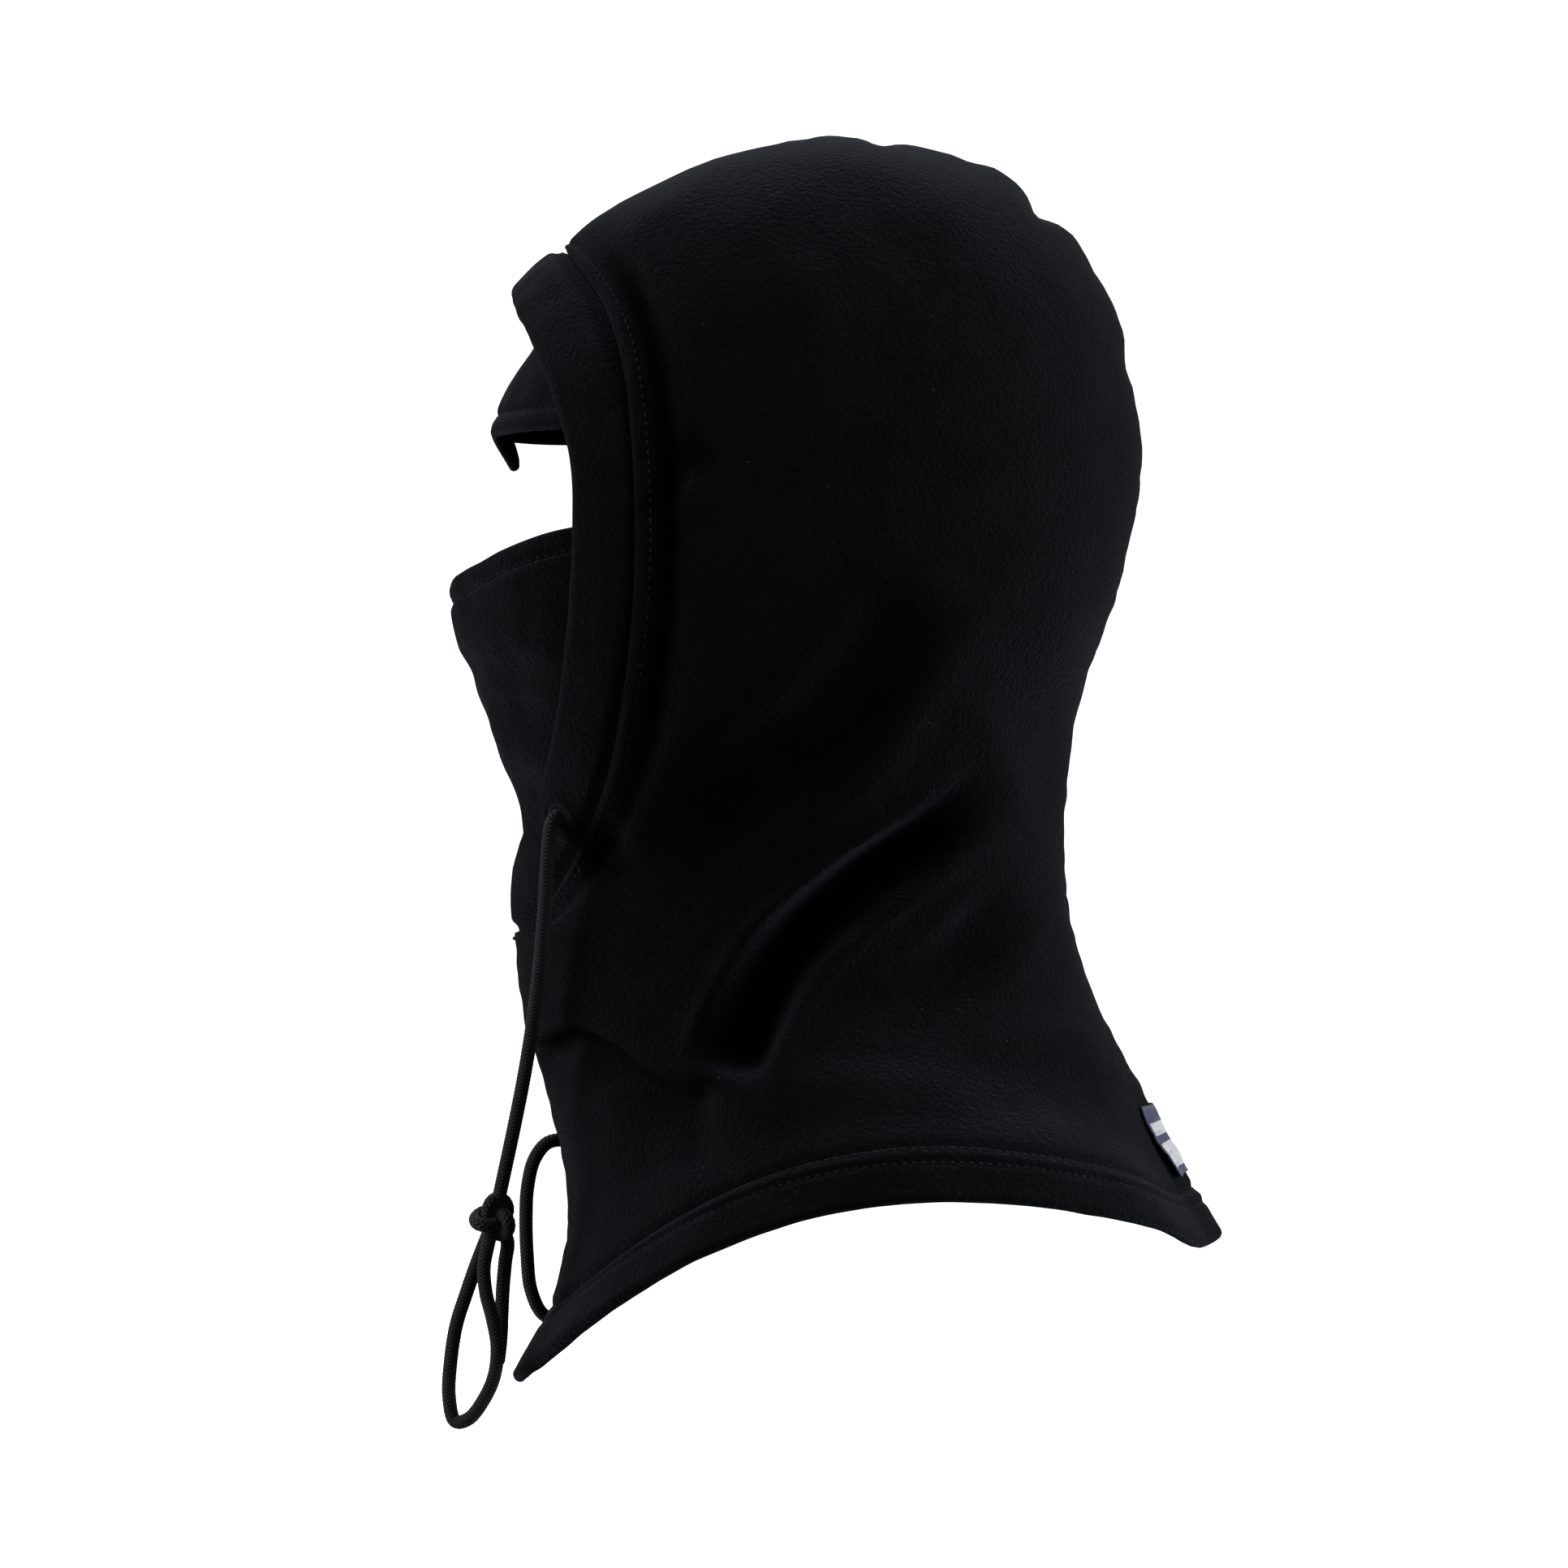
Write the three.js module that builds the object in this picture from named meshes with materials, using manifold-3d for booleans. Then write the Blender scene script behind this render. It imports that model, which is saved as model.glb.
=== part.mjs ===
// Fleece balaclava: a cut-and-sewn hood with a drawcord casing, an inner face mask and a flared bib.
// Millimetres, +Z up. The wearer faces -Y and the wearer's left is at +X. The origin is the middle of the
// head at eye level, where a head carries the hood.
import * as THREE from 'three';
import { mergeVertices } from 'three/addons/utils/BufferGeometryUtils.js';
import Module from 'manifold-3d';

// ---- Driving dimensions -------------------------------------------------------------------------------
const HEAD_HALF_WIDTH = 88;        // widest half-width of the hood, over the ears
const NECK_HALF_WIDTH = 67;        // narrowest half-width, at the neck
const BIB_HALF_WIDTH = 98;         // half-width of the bib where its hem begins
const BIB_FLARE = 7;               // how much further the hem's fold stands out than its seam
const FLEECE = 2.6;                // thickness of one layer of fleece
const HEM_THICKNESS = 5.0;         // two layers and the turned edge
const MASK_FLEECE = 2.2;           // thickness of the inner mask's fleece
const MASK_HEM_HEIGHT = 9;         // turned hem along the eye opening
const MASK_HEM_THICKNESS = 3.8;
const EYE_TOP_Z = 18;              // brow hem's lower edge at the sides
const EYE_BOTTOM_Z = -18;          // mask hem's upper edge where it leaves the casing
const CASING_LEAF = 1.6;           // one leaf of the folded casing
const CORD_DIAMETER = 5;
const CORD_CLEARANCE = 0.3;        // running clearance of the cord inside its casing
const FLAT_CHANNEL = 0.9;          // the casing's channel under the chin, where no cord runs
const SEAM_ALLOWANCE = 5;          // depth of the sewn allowance that stands inside the hood
const SEAM_WIDTH = 2.4;
const KNOT_RADIUS = 8.4;
const LABEL_HALF_WIDTH = 17;
const LABEL_THICKNESS = 0.9;
const GAP = 0.3;                   // clearance between pieces that touch

// ---- Colours ------------------------------------------------------------------------------------------
const BLACK_FLEECE = { color: 0x17171a, roughness: 0.95, metalness: 0 };
const INNER_FLEECE = { color: 0x1c1c20, roughness: 0.95, metalness: 0 };
const BRAID = { color: 0x101012, roughness: 0.7, metalness: 0 };
const THREAD = { color: 0x0c0c0e, roughness: 0.6, metalness: 0 };
const LABEL = { color: 0x26325a, roughness: 0.75, metalness: 0 };

const v3 = (x, y, z) => new THREE.Vector3(x, y, z);
const mirrored = (p) => v3(-p.x, p.y, p.z);

// ---- The face opening ---------------------------------------------------------------------------------
// From the middle of the brow down the left side to the middle of the chin: the seam where the casing is
// stitched down, and the fold along the casing's front edge.
const openingSeamLeft = [
  v3(0, -89.5, 84.5), v3(34, -84, 77), v3(60, -73, 60), v3(76, -66, 38), v3(84, -62, 0), v3(82, -62, -38),
  v3(74, -66, -75), v3(62, -72, -104), v3(44, -83, -130), v3(22, -96, -150), v3(0, -105.5, -158),
];
const openingFoldLeft = [
  v3(0, -108, 68.5), v3(30, -105.5, 62), v3(54, -98, 47), v3(69, -91, 30), v3(76, -84.5, 0), v3(74, -85, -38),
  v3(65, -88, -68), v3(53, -92, -91), v3(37, -97.5, -110), v3(19, -103, -125), v3(0, -105.5, -133),
];

function openingLoop(leftPoints) {
  const rightPoints = leftPoints.slice(1, -1).reverse().map(mirrored);
  return new THREE.CatmullRomCurve3([...leftPoints, ...rightPoints], true);
}

const seamLoop = openingLoop(openingSeamLeft);
const foldLoop = openingLoop(openingFoldLeft);
const HALF_LOOP = 0.5;             // the loops' parameter runs 0 at the brow to 0.5 at the chin

// ---- The hood's surface -------------------------------------------------------------------------------
// One side is a loft of sections. Each section leaves the centre line of the crown and back, swells to its
// half-width at the side and comes forward to the casing's seam or, below the chin, to the front seam.
const BACK_KEYS = 21;
const CHIN_KEY = 15;               // the section that ends at the bottom of the face opening
const FIRST_KEY = 0.15;            // the panel starts just behind the casing at the brow
const centreLine = new THREE.CatmullRomCurve3([
  v3(0, -88.5, 86), v3(0, -62, 104), v3(0, -20, 119.5), v3(0, 30, 121.5), v3(0, 72, 105), v3(0, 101, 74),
  v3(0, 114.5, 28), v3(0, 114, -14), v3(0, 106, -44), v3(0, 97, -70), v3(0, 92, -92), v3(0, 89.5, -112),
  v3(0, 89, -128), v3(0, 89.5, -142), v3(0, 91.5, -155), v3(0, 95, -168), v3(0, 100, -182),
  v3(0, 107, -196), v3(0, 115.5, -211), v3(0, 123, -226), v3(0, 130, -238), v3(0, 136, -248),
]);
const frontLine = new THREE.CatmullRomCurve3([
  v3(0, -105.5, -158), v3(0, -104.5, -176), v3(0, -100, -196), v3(0, -94.5, -215), v3(0, -89.5, -235),
  v3(0, -87, -262), v3(0, -93, -291),
]);
const hemFoldBack = v3(0, 146, -265.5);
const hemFoldFront = v3(0, -107.5, -315.5);

// Half-width of each section, as shares of the head, neck or bib, and how far its side rises above a
// straight line from back to front.
const crownShares = [0.09, 0.34, 0.6, 0.78, 0.9, 0.97, 1, 1, 0.98];
const jawShares = [1.22, 1.15, 1.09, 1.04, 1.015];
const neckShares = [1, 1, 1.015];
const bibShares = [0.73, 0.78, 0.85, 0.92, 1];
const halfWidths = [
  ...crownShares.map((share) => share * HEAD_HALF_WIDTH),
  ...jawShares.map((share) => share * NECK_HALF_WIDTH),
  ...neckShares.map((share) => share * NECK_HALF_WIDTH),
  ...bibShares.map((share) => share * BIB_HALF_WIDTH),
];
const sideRises = [0, 0, 0, 0, 0, 0, 0, 0, 0, 0, 0, 0, 0, 0, 0, 0, 3, 8, 15, 23, 31, 40];
const HEM_RISE = 42;
const spreadLine = new THREE.CatmullRomCurve3(halfWidths.map((width, i) => v3(width, sideRises[i], 0)));
const REAR_RISE = 0.2;             // the rise is a little less behind the shoulder than in front of it

function sectionAt(key) {
  const back = centreLine.getPoint(key / BACK_KEYS);
  const spread = spreadLine.getPoint(key / BACK_KEYS);
  const front = key <= CHIN_KEY
    ? seamLoop.getPoint((key / CHIN_KEY) * HALF_LOOP)
    : frontLine.getPoint((key - CHIN_KEY) / (BACK_KEYS - CHIN_KEY));
  return { back, front, halfWidth: spread.x, rise: spread.y };
}

const SEAM_SIDE = SEAM_WIDTH / 2 + GAP;   // where a panel's edge lies beside the centre seams

function sectionPoint({ back, front, halfWidth, rise }, share, startX = SEAM_SIDE, endX = SEAM_SIDE) {
  const first = Math.asin(startX / halfWidth);
  const last = Math.PI - Math.asin(Math.min(1, Math.max(front.x, endX) / halfWidth));
  const turn = THREE.MathUtils.lerp(first, last, share);
  const along = (Math.cos(first) - Math.cos(turn)) / (Math.cos(first) - Math.cos(last));
  const lift = rise * Math.sin(turn) ** 2 * (1 - REAR_RISE * Math.cos(turn));
  return v3(
    halfWidth * Math.sin(turn),
    THREE.MathUtils.lerp(back.y, front.y, along),
    THREE.MathUtils.lerp(back.z, front.z, along) + lift,
  );
}

// ---- Solids from grids --------------------------------------------------------------------------------
// The rows before and after belong to the neighbouring piece, so that both pieces turn the same way at the
// seam between them.
function gridNormals(grid, before = grid[0], after = grid[grid.length - 1]) {
  const rows = [before, ...grid, after];
  return grid.map((row, r) => row.map((_, c) => {
    const up = rows[r + 2][c].clone().sub(rows[r][c]);
    const across = row[Math.min(c + 1, row.length - 1)].clone().sub(row[Math.max(c - 1, 0)]);
    return across.cross(up).normalize();
  }));
}

function volumeOf(positions, faces) {
  let volume = 0;
  for (const [a, b, c] of faces) {
    volume += positions[a].dot(positions[b].clone().cross(positions[c])) / 6;
  }
  return volume;
}

function solidFrom(positions, faces) {
  const outward = volumeOf(positions, faces) > 0 ? faces : faces.map(([a, b, c]) => [a, c, b]);
  const geometry = new THREE.BufferGeometry();
  geometry.setAttribute('position', new THREE.Float32BufferAttribute(positions.flatMap((p) => p.toArray()), 3));
  geometry.setIndex(outward.flat());
  return geometry;
}

// A sheet with this grid as its outer face, given its thickness towards the hollow of the garment.
function sheetSolid(grid, thickness, before, after, leastX = -Infinity) {
  const rows = grid.length;
  const columns = grid[0].length;
  const normals = gridNormals(grid, before, after);
  const centre = grid[Math.floor(rows / 2)][Math.floor(columns / 2)];
  const sample = normals[Math.floor(rows / 2)][Math.floor(columns / 2)];
  const inwards = sample.dot(v3(0, 0, centre.z).sub(centre)) > 0 ? 1 : -1;
  const outer = grid.flat();
  const inner = outer.map((p, i) => {
    const normal = normals[Math.floor(i / columns)][i % columns];
    const moved = p.clone().addScaledVector(normal, inwards * thickness);
    return moved.setX(Math.max(moved.x, leastX));
  });
  const positions = [...outer, ...inner];
  const at = (r, c, side) => side * rows * columns + r * columns + c;
  const faces = [];
  const quad = (a, b, c, d) => faces.push([a, b, c], [a, c, d]);
  for (let r = 0; r < rows - 1; r += 1) {
    for (let c = 0; c < columns - 1; c += 1) {
      quad(at(r, c, 0), at(r, c + 1, 0), at(r + 1, c + 1, 0), at(r + 1, c, 0));
      quad(at(r, c, 1), at(r + 1, c, 1), at(r + 1, c + 1, 1), at(r, c + 1, 1));
    }
  }
  for (let r = 0; r < rows - 1; r += 1) {
    quad(at(r, 0, 0), at(r + 1, 0, 0), at(r + 1, 0, 1), at(r, 0, 1));
    quad(at(r, columns - 1, 0), at(r, columns - 1, 1), at(r + 1, columns - 1, 1), at(r + 1, columns - 1, 0));
  }
  for (let c = 0; c < columns - 1; c += 1) {
    quad(at(0, c, 0), at(0, c, 1), at(0, c + 1, 1), at(0, c + 1, 0));
    quad(at(rows - 1, c, 0), at(rows - 1, c + 1, 0), at(rows - 1, c + 1, 1), at(rows - 1, c, 1));
  }
  return solidFrom(positions, faces);
}

const CAP_WIDTH = 24;              // a usual width of the casing, at which its flat ends are triangulated

// A closed section carried through rings of equal length, with flat ends.
function ringSolid(rings) {
  const count = rings[0].length;
  const positions = rings.flat();
  const faces = [];
  for (let r = 0; r < rings.length - 1; r += 1) {
    for (let i = 0; i < count; i += 1) {
      const a = r * count + i;
      const b = r * count + ((i + 1) % count);
      faces.push([a, b, b + count], [a, b + count, a + count]);
    }
  }
  const outline = casingOutline(CAP_WIDTH, CORD_CHANNEL).map(([x, y]) => new THREE.Vector2(x, y));
  const direction = Math.sign(THREE.ShapeUtils.area(outline));
  const ends = THREE.ShapeUtils.triangulateShape(outline, []).map(([a, b, c]) => {
    const turned = Math.sign(THREE.ShapeUtils.area([outline[a], outline[b], outline[c]]));
    return turned === direction ? [a, b, c] : [a, c, b];
  });
  const last = (rings.length - 1) * count;
  for (const [a, b, c] of ends) {
    faces.push([a, c, b], [last + a, last + b, last + c]);
  }
  return solidFrom(positions, faces);
}

const mirrorGeometry = (geometry) => {
  const copy = geometry.clone();
  const position = copy.getAttribute('position');
  for (let i = 0; i < position.count; i += 1) {
    position.setX(i, -position.getX(i));
  }
  const index = Array.from(copy.index.array);
  for (let i = 0; i < index.length; i += 3) {
    [index[i + 1], index[i + 2]] = [index[i + 2], index[i + 1]];
  }
  copy.setIndex(index);
  return copy;
};

// ---- Hood panels and bib hems -------------------------------------------------------------------------
const PANEL_ROWS = 26;
const PANEL_COLUMNS = 12;
const HEM_ROWS = 3;

function hoodRow(key) {
  const section = sectionAt(key);
  return Array.from({ length: PANEL_COLUMNS + 1 }, (_, c) => sectionPoint(section, c / PANEL_COLUMNS));
}

function hemRow(share) {
  const seam = sectionAt(BACK_KEYS);
  const section = {
    back: seam.back.clone().lerp(hemFoldBack, share),
    front: seam.front.clone().lerp(hemFoldFront, share),
    halfWidth: seam.halfWidth + BIB_FLARE * share,
    rise: THREE.MathUtils.lerp(seam.rise, HEM_RISE, share),
  };
  return Array.from({ length: PANEL_COLUMNS + 1 }, (_, c) => sectionPoint(section, c / PANEL_COLUMNS));
}

function hoodPanel() {
  const grid = [];
  for (let r = 0; r <= PANEL_ROWS; r += 1) {
    grid.push(hoodRow(THREE.MathUtils.lerp(FIRST_KEY, BACK_KEYS, r / PANEL_ROWS)));
  }
  return sheetSolid(grid, FLEECE, undefined, hemRow(1 / HEM_ROWS), SEAM_SIDE);
}

function bibHem() {
  const seamToFold = sectionAt(BACK_KEYS).back.distanceTo(hemFoldBack);
  const start = (2 * GAP) / seamToFold;
  const grid = [];
  for (let r = 0; r <= HEM_ROWS; r += 1) {
    grid.push(hemRow(THREE.MathUtils.lerp(start, 1, r / HEM_ROWS)));
  }
  const lastPanelStep = (BACK_KEYS - FIRST_KEY) / PANEL_ROWS;
  return sheetSolid(grid, HEM_THICKNESS, hoodRow(BACK_KEYS - lastPanelStep), undefined, GAP / 2);
}

// ---- Centre seams -------------------------------------------------------------------------------------
// The sewn allowance stands inwards between the two panels: an outline in the middle plane, SEAM_WIDTH wide.
function seamRib(line, from, to, towards) {
  const steps = 28;
  const outer = [];
  const inner = [];
  for (let i = 0; i <= steps; i += 1) {
    const t = THREE.MathUtils.lerp(from, to, i / steps);
    const p = line.getPoint(t);
    const tangent = line.getTangent(t);
    const inwards = v3(0, -tangent.z, tangent.y).multiplyScalar(towards);
    outer.push(new THREE.Vector2(p.y, p.z));
    inner.push(new THREE.Vector2(p.y + inwards.y * SEAM_ALLOWANCE, p.z + inwards.z * SEAM_ALLOWANCE));
  }
  const outline = new THREE.Shape([...outer, ...inner.reverse()]);
  const geometry = new THREE.ExtrudeGeometry(outline, { depth: SEAM_WIDTH, bevelEnabled: false, steps: 1 });
  // The outline's own axes are Y and Z, and its depth runs along X.
  const turn = new THREE.Matrix4().makeBasis(v3(0, 1, 0), v3(0, 0, 1), v3(1, 0, 0));
  turn.setPosition(-SEAM_WIDTH / 2, 0, 0);
  return geometry.applyMatrix4(turn);
}

// ---- The casing ---------------------------------------------------------------------------------------
// A folded strip: an outer leaf, a round fold at the front and an inner leaf, open at the back where it is
// stitched. Across is measured from the seam to the fold, and depth inwards from the outer face.
const CORD_CHANNEL = CORD_DIAMETER + 2 * CORD_CLEARANCE;
const CASING_DEPTH = CORD_CHANNEL + 2 * CASING_LEAF;
const CASING_SEAM_GAP = 0.8;       // room for the turned edge between the panel and the casing
const CASING_CROWN = 0.6;          // the outer leaf stands a little proud over the cord

function casingOutline(width, channel) {
  const depth = channel + 2 * CASING_LEAF;
  const nose = depth / 2;
  const crown = CASING_CROWN;
  const outer = [[CASING_SEAM_GAP, 0], [width * 0.5, crown], [width - nose, crown]];
  const inner = [[width - nose, -channel - CASING_LEAF], [CASING_SEAM_GAP, -channel - CASING_LEAF]];
  const turns = 4;
  const outerFold = [];
  const innerFold = [];
  for (let i = 1; i < turns; i += 1) {
    const angle = Math.PI / 2 - (Math.PI * i) / turns;
    outerFold.push([
      width - nose + nose * Math.cos(angle),
      (crown - depth) / 2 + ((crown + depth) / 2) * Math.sin(angle),
    ]);
    innerFold.push([
      width - nose + (nose - CASING_LEAF) * Math.cos(angle),
      -CASING_LEAF - channel / 2 + crown / 2 + (channel / 2 + crown / 2) * Math.sin(angle),
    ]);
  }
  return [
    ...outer,
    ...outerFold,
    [width - nose, -depth],
    [CASING_SEAM_GAP, -depth],
    ...inner.slice().reverse(),
    ...innerFold.reverse(),
    [width - nose, crown - CASING_LEAF],
    [width * 0.5, crown - CASING_LEAF],
    [CASING_SEAM_GAP, -CASING_LEAF],
  ];
}

function casingFrame(t) {
  const seam = seamLoop.getPoint(t);
  const fold = foldLoop.getPoint(t);
  const across = fold.clone().sub(seam);
  const width = across.length();
  across.normalize();
  const tangent = seamLoop.getTangent(t);
  tangent.addScaledVector(across, -tangent.dot(across)).normalize();
  const outwards = across.clone().cross(tangent).normalize();
  return { seam, across, outwards, tangent, width };
}

const HOLE_T = 0.389;              // where the buttonhole lies on the half loop
const HOLE_ACROSS = 0.45;          // and across the casing's width
const THINNING_T = HOLE_T + 0.012; // where the channel begins to flatten, just below the buttonhole
const THIN_T = 0.425;              // below this the channel is flat

function channelAt(t) {
  const share = THREE.MathUtils.smoothstep(t, THINNING_T, THIN_T);
  return THREE.MathUtils.lerp(CORD_CHANNEL, FLAT_CHANNEL, share);
}

function casingPoint(t, across, depth) {
  const frame = casingFrame(t);
  return frame.seam.clone()
    .addScaledVector(frame.across, across)
    .addScaledVector(frame.outwards, depth);
}

const CASING_STEPS = 30;

function casing() {
  const rings = [];
  for (let i = 0; i <= CASING_STEPS; i += 1) {
    const t = (HALF_LOOP * i) / CASING_STEPS;
    const { width } = casingFrame(t);
    rings.push(casingOutline(width, channelAt(t)).map(([across, depth]) => {
      const p = casingPoint(t, across, depth);
      p.x = Math.max(p.x, GAP / 2);
      return p;
    }));
  }
  return ringSolid(rings);
}

// ---- Buttonholes --------------------------------------------------------------------------------------
const HOLE_RADIUS = CORD_DIAMETER / 2 + 0.6;
const RING_WIDTH = 1.7;
const RING_HEIGHT = 1.1;
const RING_SIDES = 20;
const HOLE_SIDES = 16;

function holePlace() {
  const frame = casingFrame(HOLE_T);
  const centre = casingPoint(HOLE_T, frame.width * HOLE_ACROSS, CASING_CROWN);
  return { centre, outwards: frame.outwards };
}

function alongOutwards(geometry, lift) {
  const { centre, outwards } = holePlace();
  const turn = new THREE.Quaternion().setFromUnitVectors(v3(0, 1, 0), outwards);
  geometry.applyQuaternion(turn);
  const place = centre.clone().addScaledVector(outwards, lift);
  return geometry.translate(place.x, place.y, place.z);
}

function holeCutter() {
  return alongOutwards(new THREE.CylinderGeometry(HOLE_RADIUS, HOLE_RADIUS, 2 * CASING_LEAF + 2, HOLE_SIDES), -CASING_LEAF / 2);
}

function buttonholeRing() {
  const inner = HOLE_RADIUS;
  const outer = HOLE_RADIUS + RING_WIDTH;
  const profile = [
    [inner, 0], [outer, 0], [outer, RING_HEIGHT * 0.5], [(inner + outer) / 2, RING_HEIGHT],
    [inner, RING_HEIGHT * 0.5], [inner, 0],
  ].map(([x, y]) => new THREE.Vector2(x, y));
  return alongOutwards(new THREE.LatheGeometry(profile, RING_SIDES), GAP);
}

// ---- Cords --------------------------------------------------------------------------------------------
function cordTube(points, steps) {
  const sides = 8;
  const radius = CORD_DIAMETER / 2;
  const section = new THREE.Shape(Array.from({ length: sides }, (_, i) => {
    const angle = (2 * Math.PI * i) / sides;
    return new THREE.Vector2(radius * Math.cos(angle), radius * Math.sin(angle));
  }));
  const path = new THREE.CatmullRomCurve3(points);
  return new THREE.ExtrudeGeometry(section, { steps, extrudePath: path, bevelEnabled: false, curveSegments: 1 });
}

const CORD_END_T = HOLE_T - 0.008; // the hidden cord stops just short of the buttonhole
const CASING_CORD_STEPS = 46;
const CORD_FROM_FOLD = CORD_CHANNEL / 2 + CASING_LEAF + 4.2;

function cordInCasing() {
  const end = CORD_END_T;
  const count = 33;
  const centreDepth = -CASING_LEAF - CORD_CHANNEL / 2 + CASING_CROWN / 2;
  const points = [];
  for (let i = 0; i <= count; i += 1) {
    const t = THREE.MathUtils.lerp(-end, end, i / count);
    const loopT = t < 0 ? t + 1 : t;
    const { width } = casingFrame(loopT);
    points.push(casingPoint(loopT, width - CORD_FROM_FOLD, centreDepth));
  }
  return cordTube(points, CASING_CORD_STEPS);
}

const tailLeft = [
  v3(44.7, -87, -115.9), v3(46.2, -88.3, -116.4), v3(47.5, -89.5, -116.9), v3(48.9, -90.8, -119),
  v3(49.8, -91.7, -123.5), v3(49.8, -92.2, -130), v3(49, -92.7, -138), v3(47.2, -93.6, -152),
  v3(45.4, -94.9, -166), v3(43.6, -96.5, -180), v3(41.8, -98.5, -194), v3(40, -100.9, -208),
  v3(38, -103.7, -222), v3(36.2, -106.7, -236), v3(34.7, -109.4, -248.3),
];
const knotLeft = v3(33.5, -111.3, -257);
const loopLeft = [
  v3(29, -114.5, -265), v3(28.5, -118, -274), v3(28, -121.5, -284), v3(28, -125, -295), v3(28.5, -127, -308),
  v3(29.5, -127.5, -320), v3(31.5, -125.3, -328.5), v3(34, -120.5, -327.5), v3(36, -115, -320.5),
  v3(37, -111.3, -312), v3(37.2, -110.3, -302), v3(37, -112, -292), v3(36.5, -114.2, -283.5),
  v3(35.8, -115, -274.5), v3(35, -113.5, -266.2),
];
const endLeft = [
  v3(31, -107, -265.5), v3(29.8, -107.8, -273), v3(29.6, -108.6, -282), v3(29.8, -109, -291),
  v3(30, -109.4, -300), v3(30.2, -110.4, -309),
];

const tailRight = [
  v3(-44.7, -87, -115.9), v3(-46.2, -88.3, -116.4), v3(-47.5, -89.5, -116.9), v3(-49, -90.6, -119),
  v3(-50.4, -91.2, -123.5), v3(-51.3, -91, -130), v3(-52, -90, -138), v3(-53.3, -88, -152),
  v3(-54.5, -86, -166), v3(-55.6, -83.5, -180), v3(-56.6, -81, -194), v3(-57.6, -78.4, -208),
  v3(-58.2, -76, -221), v3(-58.5, -74.3, -229.6),
];
const knotRight = v3(-58.5, -73, -238.2);
const loopRight = [
  v3(-55.5, -81.2, -236.8), v3(-52, -88.5, -234.6), v3(-48.5, -95.5, -235.2), v3(-46.5, -100.3, -241),
  v3(-46, -102.8, -251), v3(-46, -103.4, -263), v3(-46.5, -103, -276), v3(-48, -101.8, -288),
  v3(-51.5, -98, -297), v3(-57, -92.5, -300), v3(-62.5, -87.5, -295), v3(-66, -83.5, -284),
  v3(-67, -80, -270), v3(-65, -77, -257), v3(-61.5, -74.6, -246.6),
];
const endRight = [
  v3(-65, -70, -243.6), v3(-70, -70, -251), v3(-73.5, -71.5, -260), v3(-76, -74, -269), v3(-78, -77, -278),
];

function knot(centre) {
  const geometry = new THREE.SphereGeometry(KNOT_RADIUS, 16, 10);
  geometry.scale(0.95, 0.95, 0.98);
  return geometry.translate(centre.x, centre.y, centre.z);
}

// ---- The inner mask -----------------------------------------------------------------------------------
// Each row runs from one side of the face to the other: it leaves the inside of the casing, and meets the
// middle of the face at the front point. The right half mirrors the left.
const MASK_COLUMNS = 20;
const FORWARD_SWELL = 0.92;        // how fully each row swells forwards, 1 for a plain half ellipse
const FRONT_SAG = 2;               // how soon each row drops from its side to its front

function veilRow({ side, front }) {
  return Array.from({ length: MASK_COLUMNS + 1 }, (_, c) => {
    const turn = -Math.PI / 2 + (Math.PI * c) / MASK_COLUMNS;
    const forward = Math.max(0, Math.cos(turn));
    return v3(
      side.x * Math.sin(turn),
      THREE.MathUtils.lerp(side.y, front.y, forward ** FORWARD_SWELL),
      THREE.MathUtils.lerp(side.z, front.z, forward ** FRONT_SAG),
    );
  });
}

function veil(rows, from, to, count, thickness) {
  const sides = new THREE.CatmullRomCurve3(rows.map((row) => row.side));
  const fronts = new THREE.CatmullRomCurve3(rows.map((row) => row.front));
  const rowAt = (t) => {
    const share = THREE.MathUtils.clamp(t, 0, 1);
    return veilRow({ side: sides.getPoint(share), front: fronts.getPoint(share) });
  };
  const grid = [];
  for (let r = 0; r <= count; r += 1) {
    grid.push(rowAt(THREE.MathUtils.lerp(from, to, r / count)));
  }
  const beyond = 0.05;
  return sheetSolid(grid, thickness, rowAt(from - beyond), rowAt(to + beyond));
}

const MASK_SIDE_Y = -62;           // where the mask is sewn in, behind the casing's seam
// The mask's sides lie against the casing's inner leaf: half-width at the casing's outer face, less its depth.
const insideCasing = (outerX, y, z) => v3(outerX - CASING_DEPTH, y, z);
const maskRows = [
  { side: insideCasing(74.1, MASK_SIDE_Y, EYE_BOTTOM_Z + 3), front: v3(0, -127.5, -33) },
  { side: insideCasing(72.7, MASK_SIDE_Y, -32), front: v3(0, -127, -50) },
  { side: insideCasing(69.7, MASK_SIDE_Y, -52), front: v3(0, -123, -66) },
  { side: insideCasing(63.7, -63, -74), front: v3(0, -116.5, -82) },
  { side: insideCasing(54.7, -66, -94), front: v3(0, -110, -100) },
  { side: insideCasing(42.6, -72, -114), front: v3(0, -104, -118) },
  { side: v3(18, -82, -133), front: v3(0, -98.5, -137) },
];
const MASK_LENGTH = 104;           // from the mask's top edge to its lowest row, along its front
const HEM_GAP = GAP + 0.1;         // clearance between a hem and its panel
const MASK_HEM_SHARE = MASK_HEM_HEIGHT / MASK_LENGTH;
const MASK_GAP_SHARE = HEM_GAP / MASK_LENGTH;

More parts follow.
